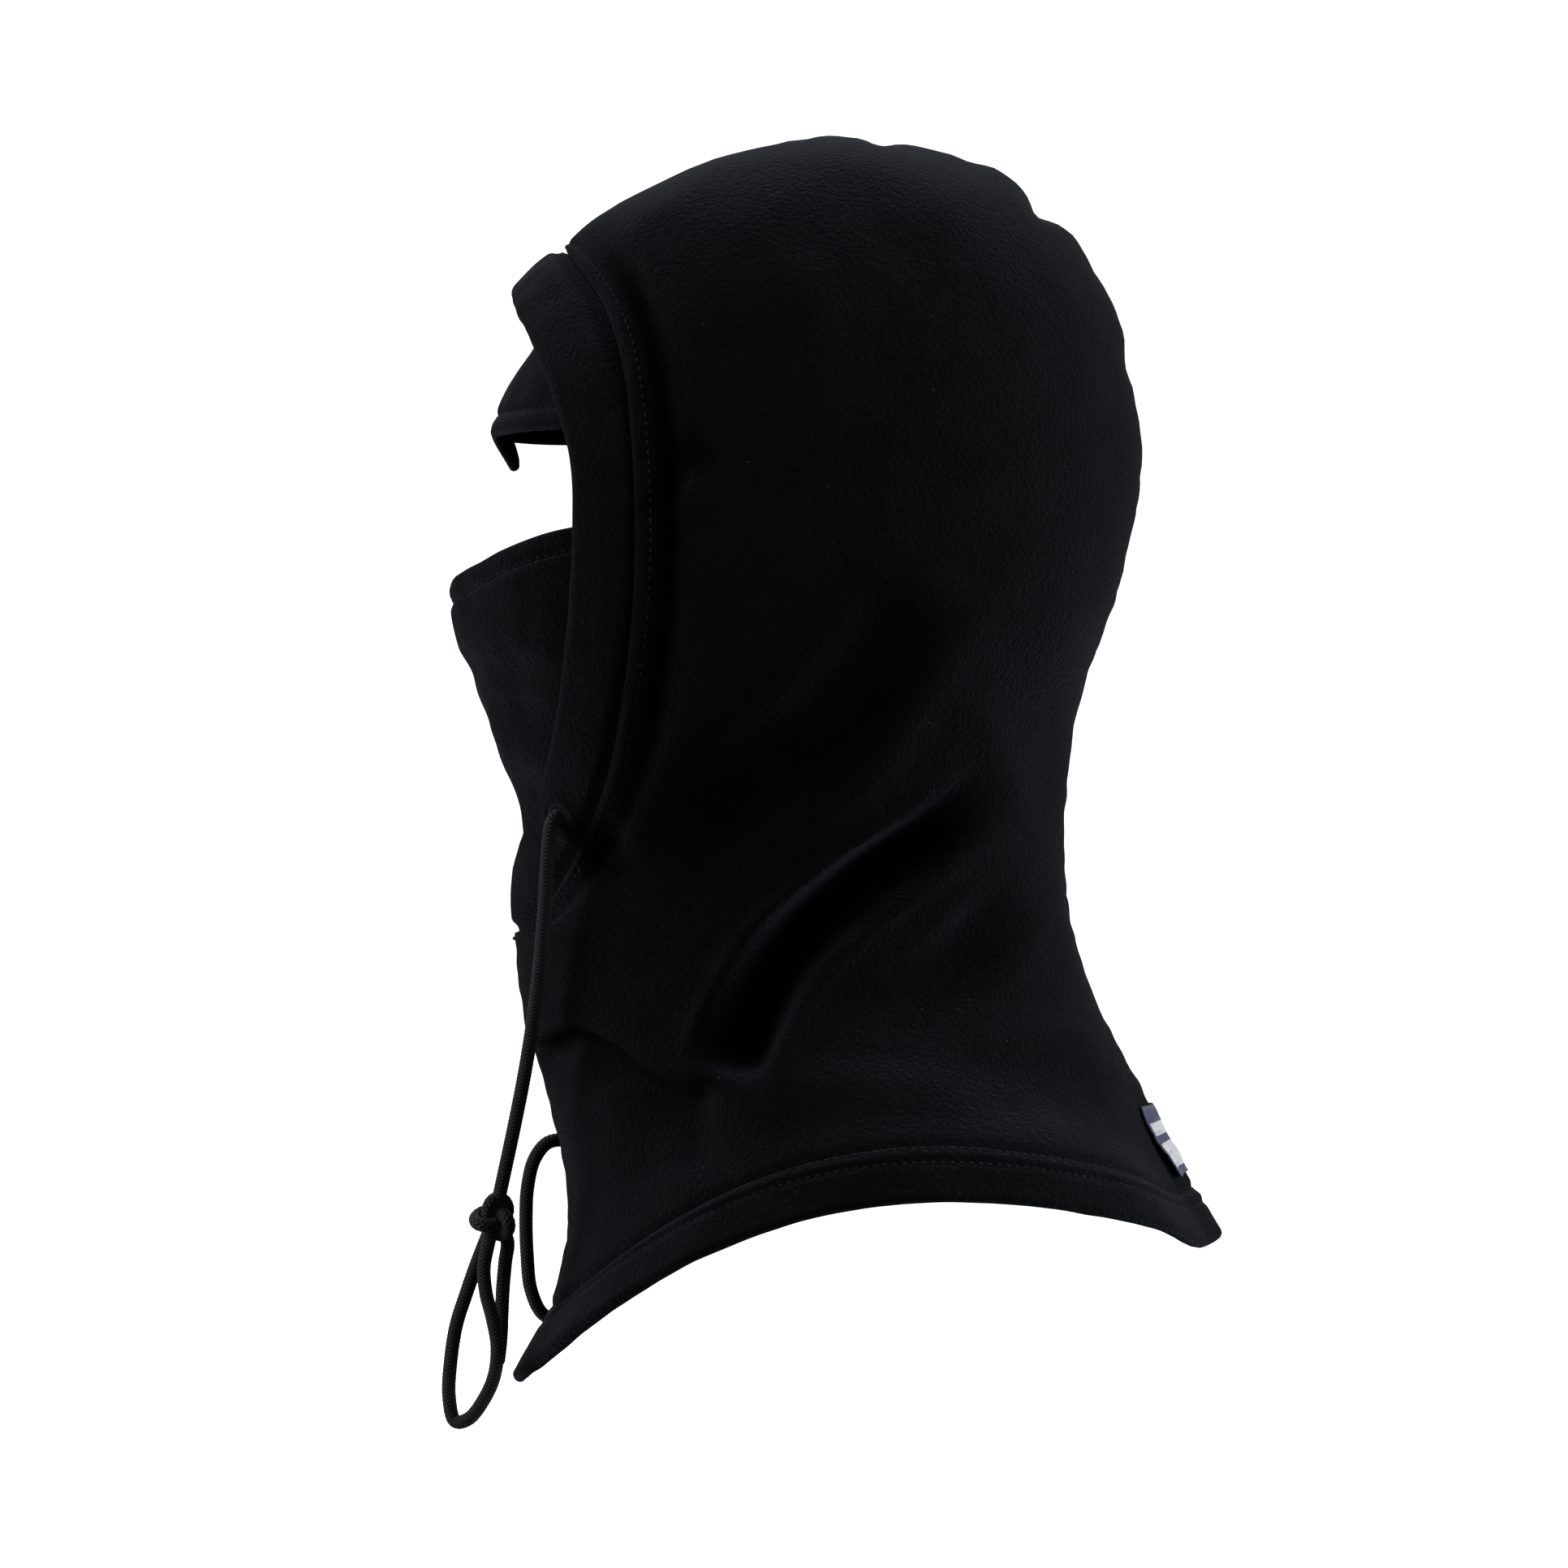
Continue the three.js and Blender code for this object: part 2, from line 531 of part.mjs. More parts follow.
const browRows = [
  { side: insideCasing(74, MASK_SIDE_Y, EYE_TOP_Z), front: v3(0, -115.5, 12) },
  { side: insideCasing(71.7, -64, 34), front: v3(0, -109, 30) },
  { side: insideCasing(59.8, -70, 52), front: v3(0, -99, 50) },
  { side: insideCasing(45.8, -76, 62), front: v3(0, -93, 62) },
];
const BROW_LENGTH = 56;            // from the brow's lower edge to its top row, along its front
const BROW_HEM_SHARE = MASK_HEM_HEIGHT / BROW_LENGTH;
const BROW_GAP_SHARE = HEM_GAP / BROW_LENGTH;

// ---- Woven label --------------------------------------------------------------------------------------
const LABEL_TOP_KEY = 18.45;       // the sections of the hood that the label lies between
const LABEL_FOOT_KEY = 20.35;
const LABEL_LIFT = GAP + LABEL_THICKNESS + 0.25;

function wovenLabel() {
  const rows = 6;
  const columns = 10;
  const grid = [];
  for (let r = 0; r <= rows; r += 1) {
    const section = sectionAt(THREE.MathUtils.lerp(LABEL_TOP_KEY, LABEL_FOOT_KEY, r / rows));
    grid.push(Array.from({ length: columns + 1 }, (_, c) => {
      const x = THREE.MathUtils.lerp(-LABEL_HALF_WIDTH, LABEL_HALF_WIDTH, c / columns);
      const turn = Math.asin(Math.abs(x) / section.halfWidth);
      const along = (1 - Math.cos(turn)) / 2;
      return v3(
        x,
        THREE.MathUtils.lerp(section.back.y, section.front.y, along) + LABEL_LIFT,
        THREE.MathUtils.lerp(section.back.z, section.front.z, along) + section.rise * Math.sin(turn) ** 2,
      );
    }));
  }
  return sheetSolid(grid, LABEL_THICKNESS);
}

// ---- Booleans -----------------------------------------------------------------------------------------
const wasm = await Module();
wasm.setup();

function manifoldOf(geometry) {
  const bare = geometry.clone();
  bare.deleteAttribute('normal');
  bare.deleteAttribute('uv');
  const merged = mergeVertices(bare, 1e-4);
  return new wasm.Manifold(new wasm.Mesh({
    numProp: 3,
    vertProperties: new Float32Array(merged.getAttribute('position').array),
    triVerts: new Uint32Array(merged.index.array),
  }));
}

function geometryOf(solid) {
  const mesh = solid.getMesh();
  const geometry = new THREE.BufferGeometry();
  geometry.setAttribute('position', new THREE.Float32BufferAttribute(Array.from(mesh.vertProperties), 3));
  geometry.setIndex(Array.from(mesh.triVerts));
  return geometry;
}

function casingWithHole() {
  return geometryOf(manifoldOf(casing()).subtract(manifoldOf(holeCutter())));
}

// ---- Assembly -----------------------------------------------------------------------------------------
const balaclava = new THREE.Group();

function addPiece(name, geometry, finish) {
  geometry.computeVertexNormals();
  const mesh = new THREE.Mesh(geometry, new THREE.MeshStandardMaterial(finish));
  mesh.name = name;
  balaclava.add(mesh);
}

function addPair(name, geometry, finish) {
  addPiece(`${name}_left`, geometry, finish);
  addPiece(`${name}_right`, mirrorGeometry(geometry.index ? geometry : mergeVertices(geometry)), finish);
}

addPair('hood_panel', hoodPanel(), BLACK_FLEECE);
addPair('bib_hem', bibHem(), BLACK_FLEECE);
addPair('casing', casingWithHole(), BLACK_FLEECE);
addPair('buttonhole', buttonholeRing(), THREAD);
addPiece('centre_back_seam', seamRib(centreLine, (FIRST_KEY + 0.1) / BACK_KEYS, 0.999, -1), THREAD);
addPiece('front_neck_seam', seamRib(frontLine, 0.02, 0.998, 1), THREAD);
addPiece('drawcord_in_casing', cordInCasing(), BRAID);

const TAIL_STEPS = 20;             // about 7 mm to a step
const LOOP_STEPS = 28;
const END_STEPS = 8;
addPiece('cord_tail_left', cordTube(tailLeft, TAIL_STEPS), BRAID);
addPiece('cord_knot_left', knot(knotLeft), BRAID);
addPiece('cord_loop_left', cordTube(loopLeft, LOOP_STEPS), BRAID);
addPiece('cord_end_left', cordTube(endLeft, END_STEPS), BRAID);
addPiece('cord_tail_right', cordTube(tailRight, TAIL_STEPS), BRAID);
addPiece('cord_knot_right', knot(knotRight), BRAID);
addPiece('cord_loop_right', cordTube(loopRight, LOOP_STEPS), BRAID);
addPiece('cord_end_right', cordTube(endRight, END_STEPS), BRAID);

addPiece('mask_top_hem', veil(maskRows, 0, MASK_HEM_SHARE, 2, MASK_HEM_THICKNESS), INNER_FLEECE);
addPiece('mask_panel', veil(maskRows, MASK_HEM_SHARE + MASK_GAP_SHARE, 1, 10, MASK_FLEECE), INNER_FLEECE);
addPiece('brow_hem', veil(browRows, 0, BROW_HEM_SHARE, 2, MASK_HEM_THICKNESS), INNER_FLEECE);
addPiece('brow_panel', veil(browRows, BROW_HEM_SHARE + BROW_GAP_SHARE, 1, 6, MASK_FLEECE), INNER_FLEECE);
addPiece('woven_label', wovenLabel(), LABEL);

export default balaclava;
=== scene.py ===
"""A black fleece balaclava: hood, drawcord casing, inner mask and flared bib, built round its CAD frame."""
import math

import bmesh
import bpy
import numpy as np
from mathutils import Matrix, Vector, noise


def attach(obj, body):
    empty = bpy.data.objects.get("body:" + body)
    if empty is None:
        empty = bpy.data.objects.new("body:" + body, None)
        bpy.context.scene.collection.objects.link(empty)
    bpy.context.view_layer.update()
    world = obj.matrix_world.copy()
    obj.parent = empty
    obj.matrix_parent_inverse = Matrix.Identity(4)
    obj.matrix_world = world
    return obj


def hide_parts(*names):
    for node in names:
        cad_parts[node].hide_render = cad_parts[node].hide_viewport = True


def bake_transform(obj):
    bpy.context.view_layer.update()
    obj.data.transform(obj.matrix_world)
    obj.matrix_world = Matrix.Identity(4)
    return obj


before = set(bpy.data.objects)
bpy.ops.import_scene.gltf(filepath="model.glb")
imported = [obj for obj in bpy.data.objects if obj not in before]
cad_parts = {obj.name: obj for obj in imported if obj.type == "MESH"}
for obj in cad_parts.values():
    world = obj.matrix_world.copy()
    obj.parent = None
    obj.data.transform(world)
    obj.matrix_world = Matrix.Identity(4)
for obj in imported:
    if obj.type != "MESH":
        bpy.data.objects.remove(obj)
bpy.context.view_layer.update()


# ---- Camera, floor and light ---------------------------------------------------------------------
# A side view from the wearer's left, from far enough away to keep the outline almost flat. The floor bends
# up far out into a backdrop, both plain and pale. Two tall soft lights stand before the face and behind
# the head.
MM = 0.001
VIEW_MIDDLE = Vector((0, -10.1, -105.4)) * MM
VIEW_WIDTH = 0.5564
VIEW_DISTANCE = 2.4
LIGHT_AIM = Vector((0, 0, -80)) * MM
bpy.context.scene.view_settings.view_transform = "Standard"

lens = bpy.data.cameras.new("camera")
lens.sensor_width = 36
lens.lens = lens.sensor_width * VIEW_DISTANCE / VIEW_WIDTH
camera = bpy.data.objects.new("camera", lens)
camera.location = VIEW_MIDDLE + Vector((VIEW_DISTANCE, 0, 0))
camera.rotation_euler = (math.radians(90), 0, math.radians(90))
bpy.context.collection.objects.link(camera)
bpy.context.scene.camera = camera


def soft_light(name, place, size, power, colour=(1, 1, 1)):
    """A square area light that looks at the middle of the garment."""
    lamp = bpy.data.lights.new(name, "AREA")
    lamp.shape = "RECTANGLE"
    lamp.size, lamp.size_y = size
    lamp.energy = power
    lamp.color = colour
    light = bpy.data.objects.new(name, lamp)
    light.location = place
    aim = LIGHT_AIM - light.location
    light.rotation_euler = aim.to_track_quat("-Z", "Y").to_euler()
    bpy.context.collection.objects.link(light)


soft_light("light_face", (0.25, -1.6, 0.2), (0.9, 1.6), 40, (0.94, 0.97, 1))
soft_light("light_back", (0.3, 1.6, 0.3), (0.9, 1.6), 56, (0.94, 0.97, 1))
soft_light("light_top", (0.3, 0.1, 1.7), (1.2, 1.0), 8)
soft_light("light_far", (-1.6, 0.0, 0.5), (1.6, 1.4), 12)

world = bpy.data.worlds.new("studio")
bpy.context.scene.world = world
world.use_nodes = True
sky = world.node_tree.nodes["Background"]
sky.inputs["Color"].default_value = (1, 1, 1, 1)
sky.inputs["Strength"].default_value = 0.2


# ---- Shader maths --------------------------------------------------------------------------------
# Each finish below is a small node tree. A Value is one number socket that adds, takes away and
# multiplies.
class Value:
    """One number socket of a node tree."""

    def __init__(self, tree, socket):
        self.tree = tree
        self.socket = socket

    def maths(self, operation, first, second=None):
        node = self.tree.nodes.new("ShaderNodeMath")
        node.operation = operation
        for place, value in enumerate([first] if second is None else [first, second]):
            if isinstance(value, Value):
                self.tree.links.new(value.socket, node.inputs[place])
            else:
                node.inputs[place].default_value = value
        return Value(self.tree, node.outputs[0])

    def __add__(self, other):
        return self.maths("ADD", self, other)

    def __mul__(self, other):
        return self.maths("MULTIPLY", self, other)

    def __sub__(self, other):
        return self.maths("SUBTRACT", self, other)

    def __rsub__(self, other):
        return self.maths("SUBTRACT", other, self)

    def __gt__(self, other):
        return self.maths("GREATER_THAN", self, other)

    def __lt__(self, other):
        return self.maths("LESS_THAN", self, other)

    def sine(self):
        return self.maths("SINE", self)

    def size(self):
        return self.maths("ABSOLUTE", self)

    __radd__ = __add__
    __rmul__ = __mul__


class Finish:
    """A material and its shader. node() adds any node: its settings first, then its inputs, by their names or
    as i and their number."""

    def __init__(self, name, **constants):
        self.material = bpy.data.materials.new(name)
        self.material.use_nodes = True
        self.tree = self.material.node_tree
        self.shader = self.tree.nodes["Principled BSDF"]
        for socket, value in constants.items():
            self.shader.inputs[socket.replace("_", " ")].default_value = value

    def node(self, kind, settings=None, output=0, **inputs):
        node = self.tree.nodes.new(kind)
        for setting, value in (settings or {}).items():
            setattr(node, setting, value)
        for name, value in inputs.items():
            key = int(name[1:]) if name[1:].isdigit() else name.replace("_", " ")
            socket = node.inputs[key]
            if isinstance(value, Value):
                self.tree.links.new(value.socket, socket)
            else:
                socket.default_value = value
        return Value(self.tree, node.outputs[output])

    def mix(self, share, first, second):
        """Two colours mixed by a share from 0 to 1."""
        return self.node("ShaderNodeMix", {"data_type": "RGBA"}, output=2, i0=share, i6=first, i7=second)

    def object_place(self):
        """The place in the object's own frame."""
        return self.node("ShaderNodeTexCoord", output=3)

    def cloth_place(self):
        """The two shares of a piece's own map, across it and along it."""
        split = self.node("ShaderNodeSeparateXYZ", Vector=self.node("ShaderNodeUVMap")).socket.node
        return Value(self.tree, split.outputs["X"]), Value(self.tree, split.outputs["Y"])

    def feed(self, name, value):
        self.tree.links.new(value.socket, self.shader.inputs[name])

    def raise_surface(self, strength, distance, height):
        """Feeds a bump of this height, its distance in metres."""
        self.feed("Normal", self.node("ShaderNodeBump", Strength=strength, Distance=distance, Height=height))

    def cover(self, share, **constants):
        """Lays a second plain shader over the first, by this share."""
        second = self.tree.nodes.new("ShaderNodeBsdfPrincipled")
        for socket, value in constants.items():
            second.inputs[socket.replace("_", " ")].default_value = value
        mixed = self.tree.nodes.new("ShaderNodeMixShader")
        self.tree.links.new(share.socket, mixed.inputs[0])
        self.tree.links.new(self.shader.outputs[0], mixed.inputs[1])
        self.tree.links.new(second.outputs[0], mixed.inputs[2])
        self.tree.links.new(mixed.outputs[0], self.tree.nodes["Material Output"].inputs["Surface"])


floor_finish = Finish("pale_floor", Base_Color=(0.9, 0.9, 0.9, 1), Roughness=0.9, Emission_Strength=1.0)
floor_finish.shader.inputs["Emission Color"].default_value = (1, 1, 1, 1)


def studio_sweep():
    """The floor and, far out all round, the same sheet bent up into a backdrop. It lights nothing itself."""
    floor_z, reach, bend, tall = -0.42, 6.0, 1.5, 5.0
    profile = [(0, floor_z), (reach - bend, floor_z)]
    profile += [
        (reach - bend + bend * math.sin(turn), floor_z + bend - bend * math.cos(turn))
        for turn in np.linspace(0.2, math.pi / 2, 8)
    ]
    profile.append((reach, tall))
    shape = bmesh.new()
    line = [shape.verts.new((x, 0, z)) for x, z in profile]
    edges = [shape.edges.new(pair) for pair in zip(line, line[1:])]
    bmesh.ops.spin(shape, geom=line + edges, cent=(0, 0, 0), axis=(0, 0, 1), angle=2 * math.pi, steps=64,
                   use_merge=True)
    bmesh.ops.remove_doubles(shape, verts=shape.verts, dist=0.001)
    bmesh.ops.recalc_face_normals(shape, faces=shape.faces)
    mesh = bpy.data.meshes.new("floor")
    shape.to_mesh(mesh)
    shape.free()
    mesh.materials.append(floor_finish.material)
    for face in mesh.polygons:
        face.use_smooth = True
    sweep = bpy.data.objects.new("floor", mesh)
    bpy.context.collection.objects.link(sweep)
    sweep.visible_diffuse = False
    sweep.visible_glossy = False
    sweep.visible_shadow = False


studio_sweep()


# ---- Drawcord ends -------------------------------------------------------------------------------
# Round braided polyester cord, 5 mm thick and limp. Each end comes out of a buttonhole, hangs to an
# overhand knot and is doubled below it into a loop, with a short cut end beside the loop. The routes are
# those of the frame.
CORD = 5.0
KNOTTED_CORD = 4.9                  # the cord's thickness where the knot squeezes it
BRAID_PITCH = 2.6                   # length of one plait along the cord
PLAITS = 3                          # pairs of plaits round the cord
TUBE_SIDES, TUBE_STEP = 18, 0.65
END_ROUNDING = 1.6                  # length over which a cord's end rounds off
TAIL_BEND = slice(12, -6)           # the steps of a tail between which it would stretch when the cord is drawn


def smooth_point(points, share, closed=False):
    """A point on the smooth curve through the chosen points, 0 at the first and 1 at the last."""
    count = len(points)
    place = share * (count if closed else count - 1)
    first = math.floor(place)
    part = place - first
    if not closed and first >= count - 1:
        first, part = count - 2, 1.0
    before = points[(first - 1) % count] if closed or first > 0 else 2 * points[0] - points[1]
    start, end = points[first % count], points[(first + 1) % count]
    after = points[(first + 2) % count] if closed or first + 2 < count else 2 * points[-1] - points[-2]
    gap = math.sqrt(np.linalg.norm(end - start)) or 1.0
    gap_before = math.sqrt(np.linalg.norm(start - before)) or gap
    gap_after = math.sqrt(np.linalg.norm(after - end)) or gap
    leave = (start - before) / gap_before - (end - before) / (gap_before + gap) + (end - start) / gap
    arrive = (end - start) / gap - (after - start) / (gap + gap_after) + (after - end) / gap_after
    leave, arrive = leave * gap, arrive * gap
    square = 3 * (end - start) - 2 * leave - arrive
    cube = 2 * (start - end) + leave + arrive
    return start + leave * part + square * part**2 + cube * part**3


def run_along(points):
    """The length along a line of points up to each of them."""
    return np.concatenate([[0], np.cumsum(np.linalg.norm(np.diff(points, axis=0), axis=1))])


def at_marks(marks, run, points):
    """The places on a line of points at these marks along its run."""
    return np.stack([np.interp(marks, run, points[:, axis]) for axis in range(3)], axis=-1)


def even_path(points, step, closed=False):
    """The smooth curve as points about a step apart."""
    shares = np.linspace(0, 1, 40 * len(points))
    dense = np.array([smooth_point(points, share, closed) for share in shares])
    run = run_along(dense)
    marks = np.linspace(0, run[-1], max(4, round(run[-1] / step) + 1))
    return at_marks(marks, run, dense), run[-1]


def finished(shape, name, material):
    """The bmesh as a linked object in metres, at the origin."""
    bmesh.ops.scale(shape, vec=(MM, MM, MM), verts=shape.verts)
    mesh = bpy.data.meshes.new(name)
    shape.to_mesh(mesh)
    shape.free()
    mesh.materials.append(material)
    for face in mesh.polygons:
        face.use_smooth = True
    piece = bpy.data.objects.new(name, mesh)
    bpy.context.collection.objects.link(piece)
    return piece


def braid_finish():
    """Diamond plaits that run round the cord both ways, dark, the crowns painted lighter as a highlight and
    the hollows between them painted darker as shade.
    """
    braid = Finish("braided_cord", Base_Color=(0.006, 0.006, 0.007, 1), Roughness=0.62, Sheen_Weight=0.12,
                   Sheen_Roughness=0.4, Sheen_Tint=(0.8, 0.85, 1, 1), Specular_IOR_Level=0.1)
    around, along = braid.cloth_place()
    plaits = 2 * math.pi * PLAITS
    one_way = (around * plaits + along * (2 * math.pi)).sine().size()
    other_way = (around * plaits - along * (2 * math.pi)).sine().size()
    crown = one_way * other_way
    fibre = braid.node("ShaderNodeTexNoise", Scale=2600.0, Detail=2.0, Vector=braid.object_place())
    braid.raise_surface(0.8, 0.0006, crown * 0.8 + fibre * 0.25)
    dark, light = (0.0015, 0.0015, 0.0018, 1), (0.009, 0.0095, 0.011, 1)
    # Painted highlight and shade: the colour is lighter on the plaits' crowns and darker between them.
    braid.feed("Base Color", braid.mix(crown * 0.8 + fibre * 0.2, dark, light))
    return braid.material


braid_material = braid_finish()


def braided_tube(name, points, closed=False, thickness=CORD):
    """A tube of the cord's thickness along the smooth curve, its plaits raised, with rounded closed ends."""
    path, length = even_path([np.array(point, float) for point in points], TUBE_STEP, closed)
    rows = len(path) - 1
    shape = bmesh.new()
    layer = shape.loops.layers.uv.new("plait")
    bmesh.ops.create_grid(shape, x_segments=TUBE_SIDES, y_segments=rows, size=0.5, calc_uvs=False)
    heading = np.gradient(path, axis=0)
    if closed:
        heading[0] = heading[-1] = path[1] - path[-2]
    heading /= np.linalg.norm(heading, axis=1)[:, None]
    sides = [np.cross(heading[0], (0.3, 0.1, 1.0) if abs(heading[0][2]) < 0.8 else (1.0, 0.2, 0.1))]
    for direction in heading[1:]:
        sides.append(sides[-1] - direction * np.dot(sides[-1], direction))
    sides = [side / np.linalg.norm(side) for side in sides]
    turns_to_close = 0.0
    if closed:
        twist = np.dot(np.cross(sides[-1], sides[0]), heading[0])
        turns_to_close = math.atan2(twist, np.dot(sides[-1], sides[0]))
    for face in shape.faces:
        for loop in face.loops:
            loop[layer].uv = (loop.vert.co.x + 0.5, (loop.vert.co.y + 0.5) * length / BRAID_PITCH)
    for vert in shape.verts:
        row = round((vert.co.y + 0.5) * rows)
        turn = (vert.co.x + 0.5) * 2 * math.pi
        plait = 2 * math.pi * (row / rows) * length / BRAID_PITCH
        raised = abs(math.sin(PLAITS * turn + plait)) * abs(math.sin(PLAITS * turn - plait))
        radius = thickness / 2 * (0.95 + 0.07 * raised)
        if not closed:
            from_end = min(row, rows - row) * length / rows
            radius *= math.sqrt(1 - max(0, 1 - from_end / END_ROUNDING) ** 2 * 0.75)
        turn += turns_to_close * row / rows
        side = sides[row]
        other = np.cross(heading[row], side)
        vert.co = path[row] + radius * (side * math.cos(turn) + other * math.sin(turn))
    bmesh.ops.remove_doubles(shape, verts=shape.verts, dist=0.02)
    if not closed:
        rims = [edge for edge in shape.edges if edge.is_boundary]
        bmesh.ops.edgeloop_fill(shape, edges=rims)
    bmesh.ops.recalc_face_normals(shape, faces=shape.faces)
    piece = finished(shape, name, braid_material)
    return piece, path * MM, length * MM


def overhand_knot(side, centre, lean):
    """One turn of the cord through itself, pulled tight: a trefoil about three cord thicknesses across."""
    reach, depth, aside = 2.25, 3.0, math.radians(76)
    turned = Matrix.Rotation(math.radians(lean), 3, "X") @ Matrix.Rotation(aside, 3, "Y")
    points = []
    for turn in np.linspace(0, 2 * math.pi, 30, endpoint=False):
        place = Vector((
            reach * (math.sin(turn) + 2 * math.sin(2 * turn)),
            reach * (math.cos(turn) - 2 * math.cos(2 * turn)),
            -depth * math.sin(3 * turn),
        ))
        points.append(np.array(turned @ place) + np.array(centre))
    knot, _, _ = braided_tube(f"overhand_knot_{side}", points, closed=True, thickness=KNOTTED_CORD)
    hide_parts(f"cord_knot_{side}")
    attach(knot, f"{side}_knot")
    return knot


cord_routes = {
    "cord_tail_left": [
        (44.7, -87, -115.9), (46.2, -88.3, -116.4), (47.5, -89.5, -116.9), (48.9, -90.8, -119),
        (49.8, -91.7, -123.5), (49.8, -92.2, -130), (49, -92.7, -138), (47.2, -93.6, -152),
        (45.4, -94.9, -166), (43.6, -96.5, -180), (41.8, -98.5, -194), (40, -100.9, -208),
        (38, -103.7, -222), (36.2, -106.7, -236), (34.7, -109.4, -248.3),
    ],
    "cord_loop_left": [
        (29, -114.5, -265), (28.5, -118, -274), (28, -121.5, -284), (28, -125, -295), (28.5, -127, -308),
        (29.5, -127.5, -320), (31.5, -125.3, -328.5), (34, -120.5, -327.5), (36, -115, -320.5),
        (37, -111.3, -312), (37.2, -110.3, -302), (37, -112, -292), (36.5, -114.2, -283.5),
        (35.8, -115, -274.5), (35, -113.5, -266.2),
    ],
    "cord_end_left": [
        (31, -107, -265.5), (29.8, -107.8, -273), (29.6, -108.6, -282), (29.8, -109, -291),
        (30, -109.4, -300), (30.2, -110.4, -309),
    ],
    "cord_tail_right": [
        (-44.7, -87, -115.9), (-46.2, -88.3, -116.4), (-47.5, -89.5, -116.9), (-49, -90.6, -119),
        (-50.4, -91.2, -123.5), (-51.3, -91, -130), (-52, -90, -138), (-53.3, -88, -152),
        (-54.5, -86, -166), (-55.6, -83.5, -180), (-56.6, -81, -194), (-57.6, -78.4, -208),
        (-58.2, -76, -221), (-58.5, -74.3, -229.6),
    ],
    "cord_loop_right": [
        (-55.5, -81.2, -236.8), (-52, -88.5, -234.6), (-48.5, -95.5, -235.2), (-46.5, -100.3, -241),
        (-46, -102.8, -251), (-46, -103.4, -263), (-46.5, -103, -276), (-48, -101.8, -288),
        (-51.5, -98, -297), (-57, -92.5, -300), (-62.5, -87.5, -295), (-66, -83.5, -284),
        (-67, -80, -270), (-65, -77, -257), (-61.5, -74.6, -246.6),
    ],
    "cord_end_right": [
        (-65, -70, -243.6), (-70, -70, -251), (-73.5, -71.5, -260), (-76, -74, -269), (-78, -77, -278),
    ],
}
knot_centres = {"left": (33.5, -111.3, -257), "right": (-58.5, -73, -238.2)}


def into_knot(point, centre, depth=5.0):
    """A point this far beyond a cord's end, on the way to the middle of the knot."""
    point, centre = np.array(point, float), np.array(centre, float)
    return tuple(point + (centre - point) / np.linalg.norm(centre - point) * depth)


for side, lean in (("left", 8), ("right", -20)):
    knot = overhand_knot(side, knot_centres[side], lean)
    far_ends = {"tail": "knot", "loop": "knot", "end": "bare"}
    for part, far_end in far_ends.items():
        route = cord_routes[f"cord_{part}_{side}"]
        if part != "tail":
            route = [into_knot(route[0], knot_centres[side])] + route
        if part != "end":
            route = route + [into_knot(route[-1], knot_centres[side])]
        tube, path, length = braided_tube(f"drawcord_{part}_{side}", route)
        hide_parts(f"cord_{part}_{side}")
        if part == "tail":
            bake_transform(tube)
        else:
            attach(tube, f"{side}_knot")


# ---- Fleece --------------------------------------------------------------------------------------
# Brushed polyester fleece: black, matt, its short pile rubbed into small grains, with a cool sheen where
# it turns away and a few specks of lint. The hood and the thinner inner mask share it.
LINT = (0.11, 0.115, 0.13, 1)
# The colour of the near-black shader without sheen that paints shade into the bottoms of the folds.
PAINTED_FOLD_SHADE_COLOUR = (0.0004, 0.0004, 0.0005, 1)


def fleece_finish(name, dark, light, grain):
    """Grains of pile and the fibres in them, uneven in patches, and painted shade: a near-black shader
    without sheen laid over the bottoms of the folds.
    """
    cloth = Finish(name, Roughness=0.96, Specular_IOR_Level=0.03, Sheen_Weight=0.075, Sheen_Roughness=0.32,
                   Sheen_Tint=(0.72, 0.82, 1, 1))
    place = cloth.object_place()
    patches = cloth.node("ShaderNodeTexNoise", Vector=place, Scale=55.0, Detail=3.0, Roughness=0.6)
    grains = cloth.node("ShaderNodeTexNoise", Vector=place, Scale=grain, Detail=3.0, Roughness=0.65,
                        Distortion=0.4)
    fibres = cloth.node("ShaderNodeTexNoise", Vector=place, Scale=grain * 3.6, Detail=2.0, Roughness=0.7)
    tufts = cloth.node("ShaderNodeTexVoronoi", Vector=place, Scale=grain * 0.75, Randomness=1.0)
    cloth.raise_surface(0.9, 0.0013, grains * 0.6 + fibres * 0.35 - tufts * 0.35)
    shade = (grains - 0.5) * 1.6 + (patches - 0.5) * 0.9 + 0.5
    specks = cloth.node("ShaderNodeTexVoronoi", Vector=place, Scale=210.0)
    chosen = cloth.node("ShaderNodeTexNoise", Vector=place, Scale=90.0, Detail=0.0)
    lint = (0.045 > specks) * (chosen > 0.62)
    cloth.feed("Base Color", cloth.mix(lint * 0.5, cloth.mix(shade, dark, light), LINT))
    # Painted shade: a near-black shader without sheen is laid over the fleece by the fold-shade share that
    # the hood panels carry.
    painted_fold_shade = cloth.node("ShaderNodeAttribute", {"attribute_name": "painted_fold_shade"}, output=2)
    cloth.cover(painted_fold_shade, Base_Color=PAINTED_FOLD_SHADE_COLOUR, Roughness=1.0, Specular_IOR_Level=0.0)
    return cloth.material


hood_fleece = fleece_finish("black_fleece", (0.0006, 0.0006, 0.0008, 1), (0.0034, 0.0035, 0.0042, 1), 780.0)


# ---- Hood panels ---------------------------------------------------------------------------------
# Two mirrored panels of one layer of fleece, sewn together over the crown, down the back and below the
# chin. Each is a shaped sheet between the face seam and the hem, pushed into the folds that the soft cloth
# falls in round the neck.
FLEECE = 2.6
HEAD_HALF_WIDTH = 88
NECK_HALF_WIDTH = 67
BIB_HALF_WIDTH = 98
BIB_FLARE = 7
HEM_RISE = 42
REAR_RISE = 0.2
FIRST_KEY, CHIN_KEY, HEM_KEY, FOLD_KEY = 0.15, 15, 21, 22
SEAM_SIDE = 0.05                    # how far a panel's sewn edge lies from the middle

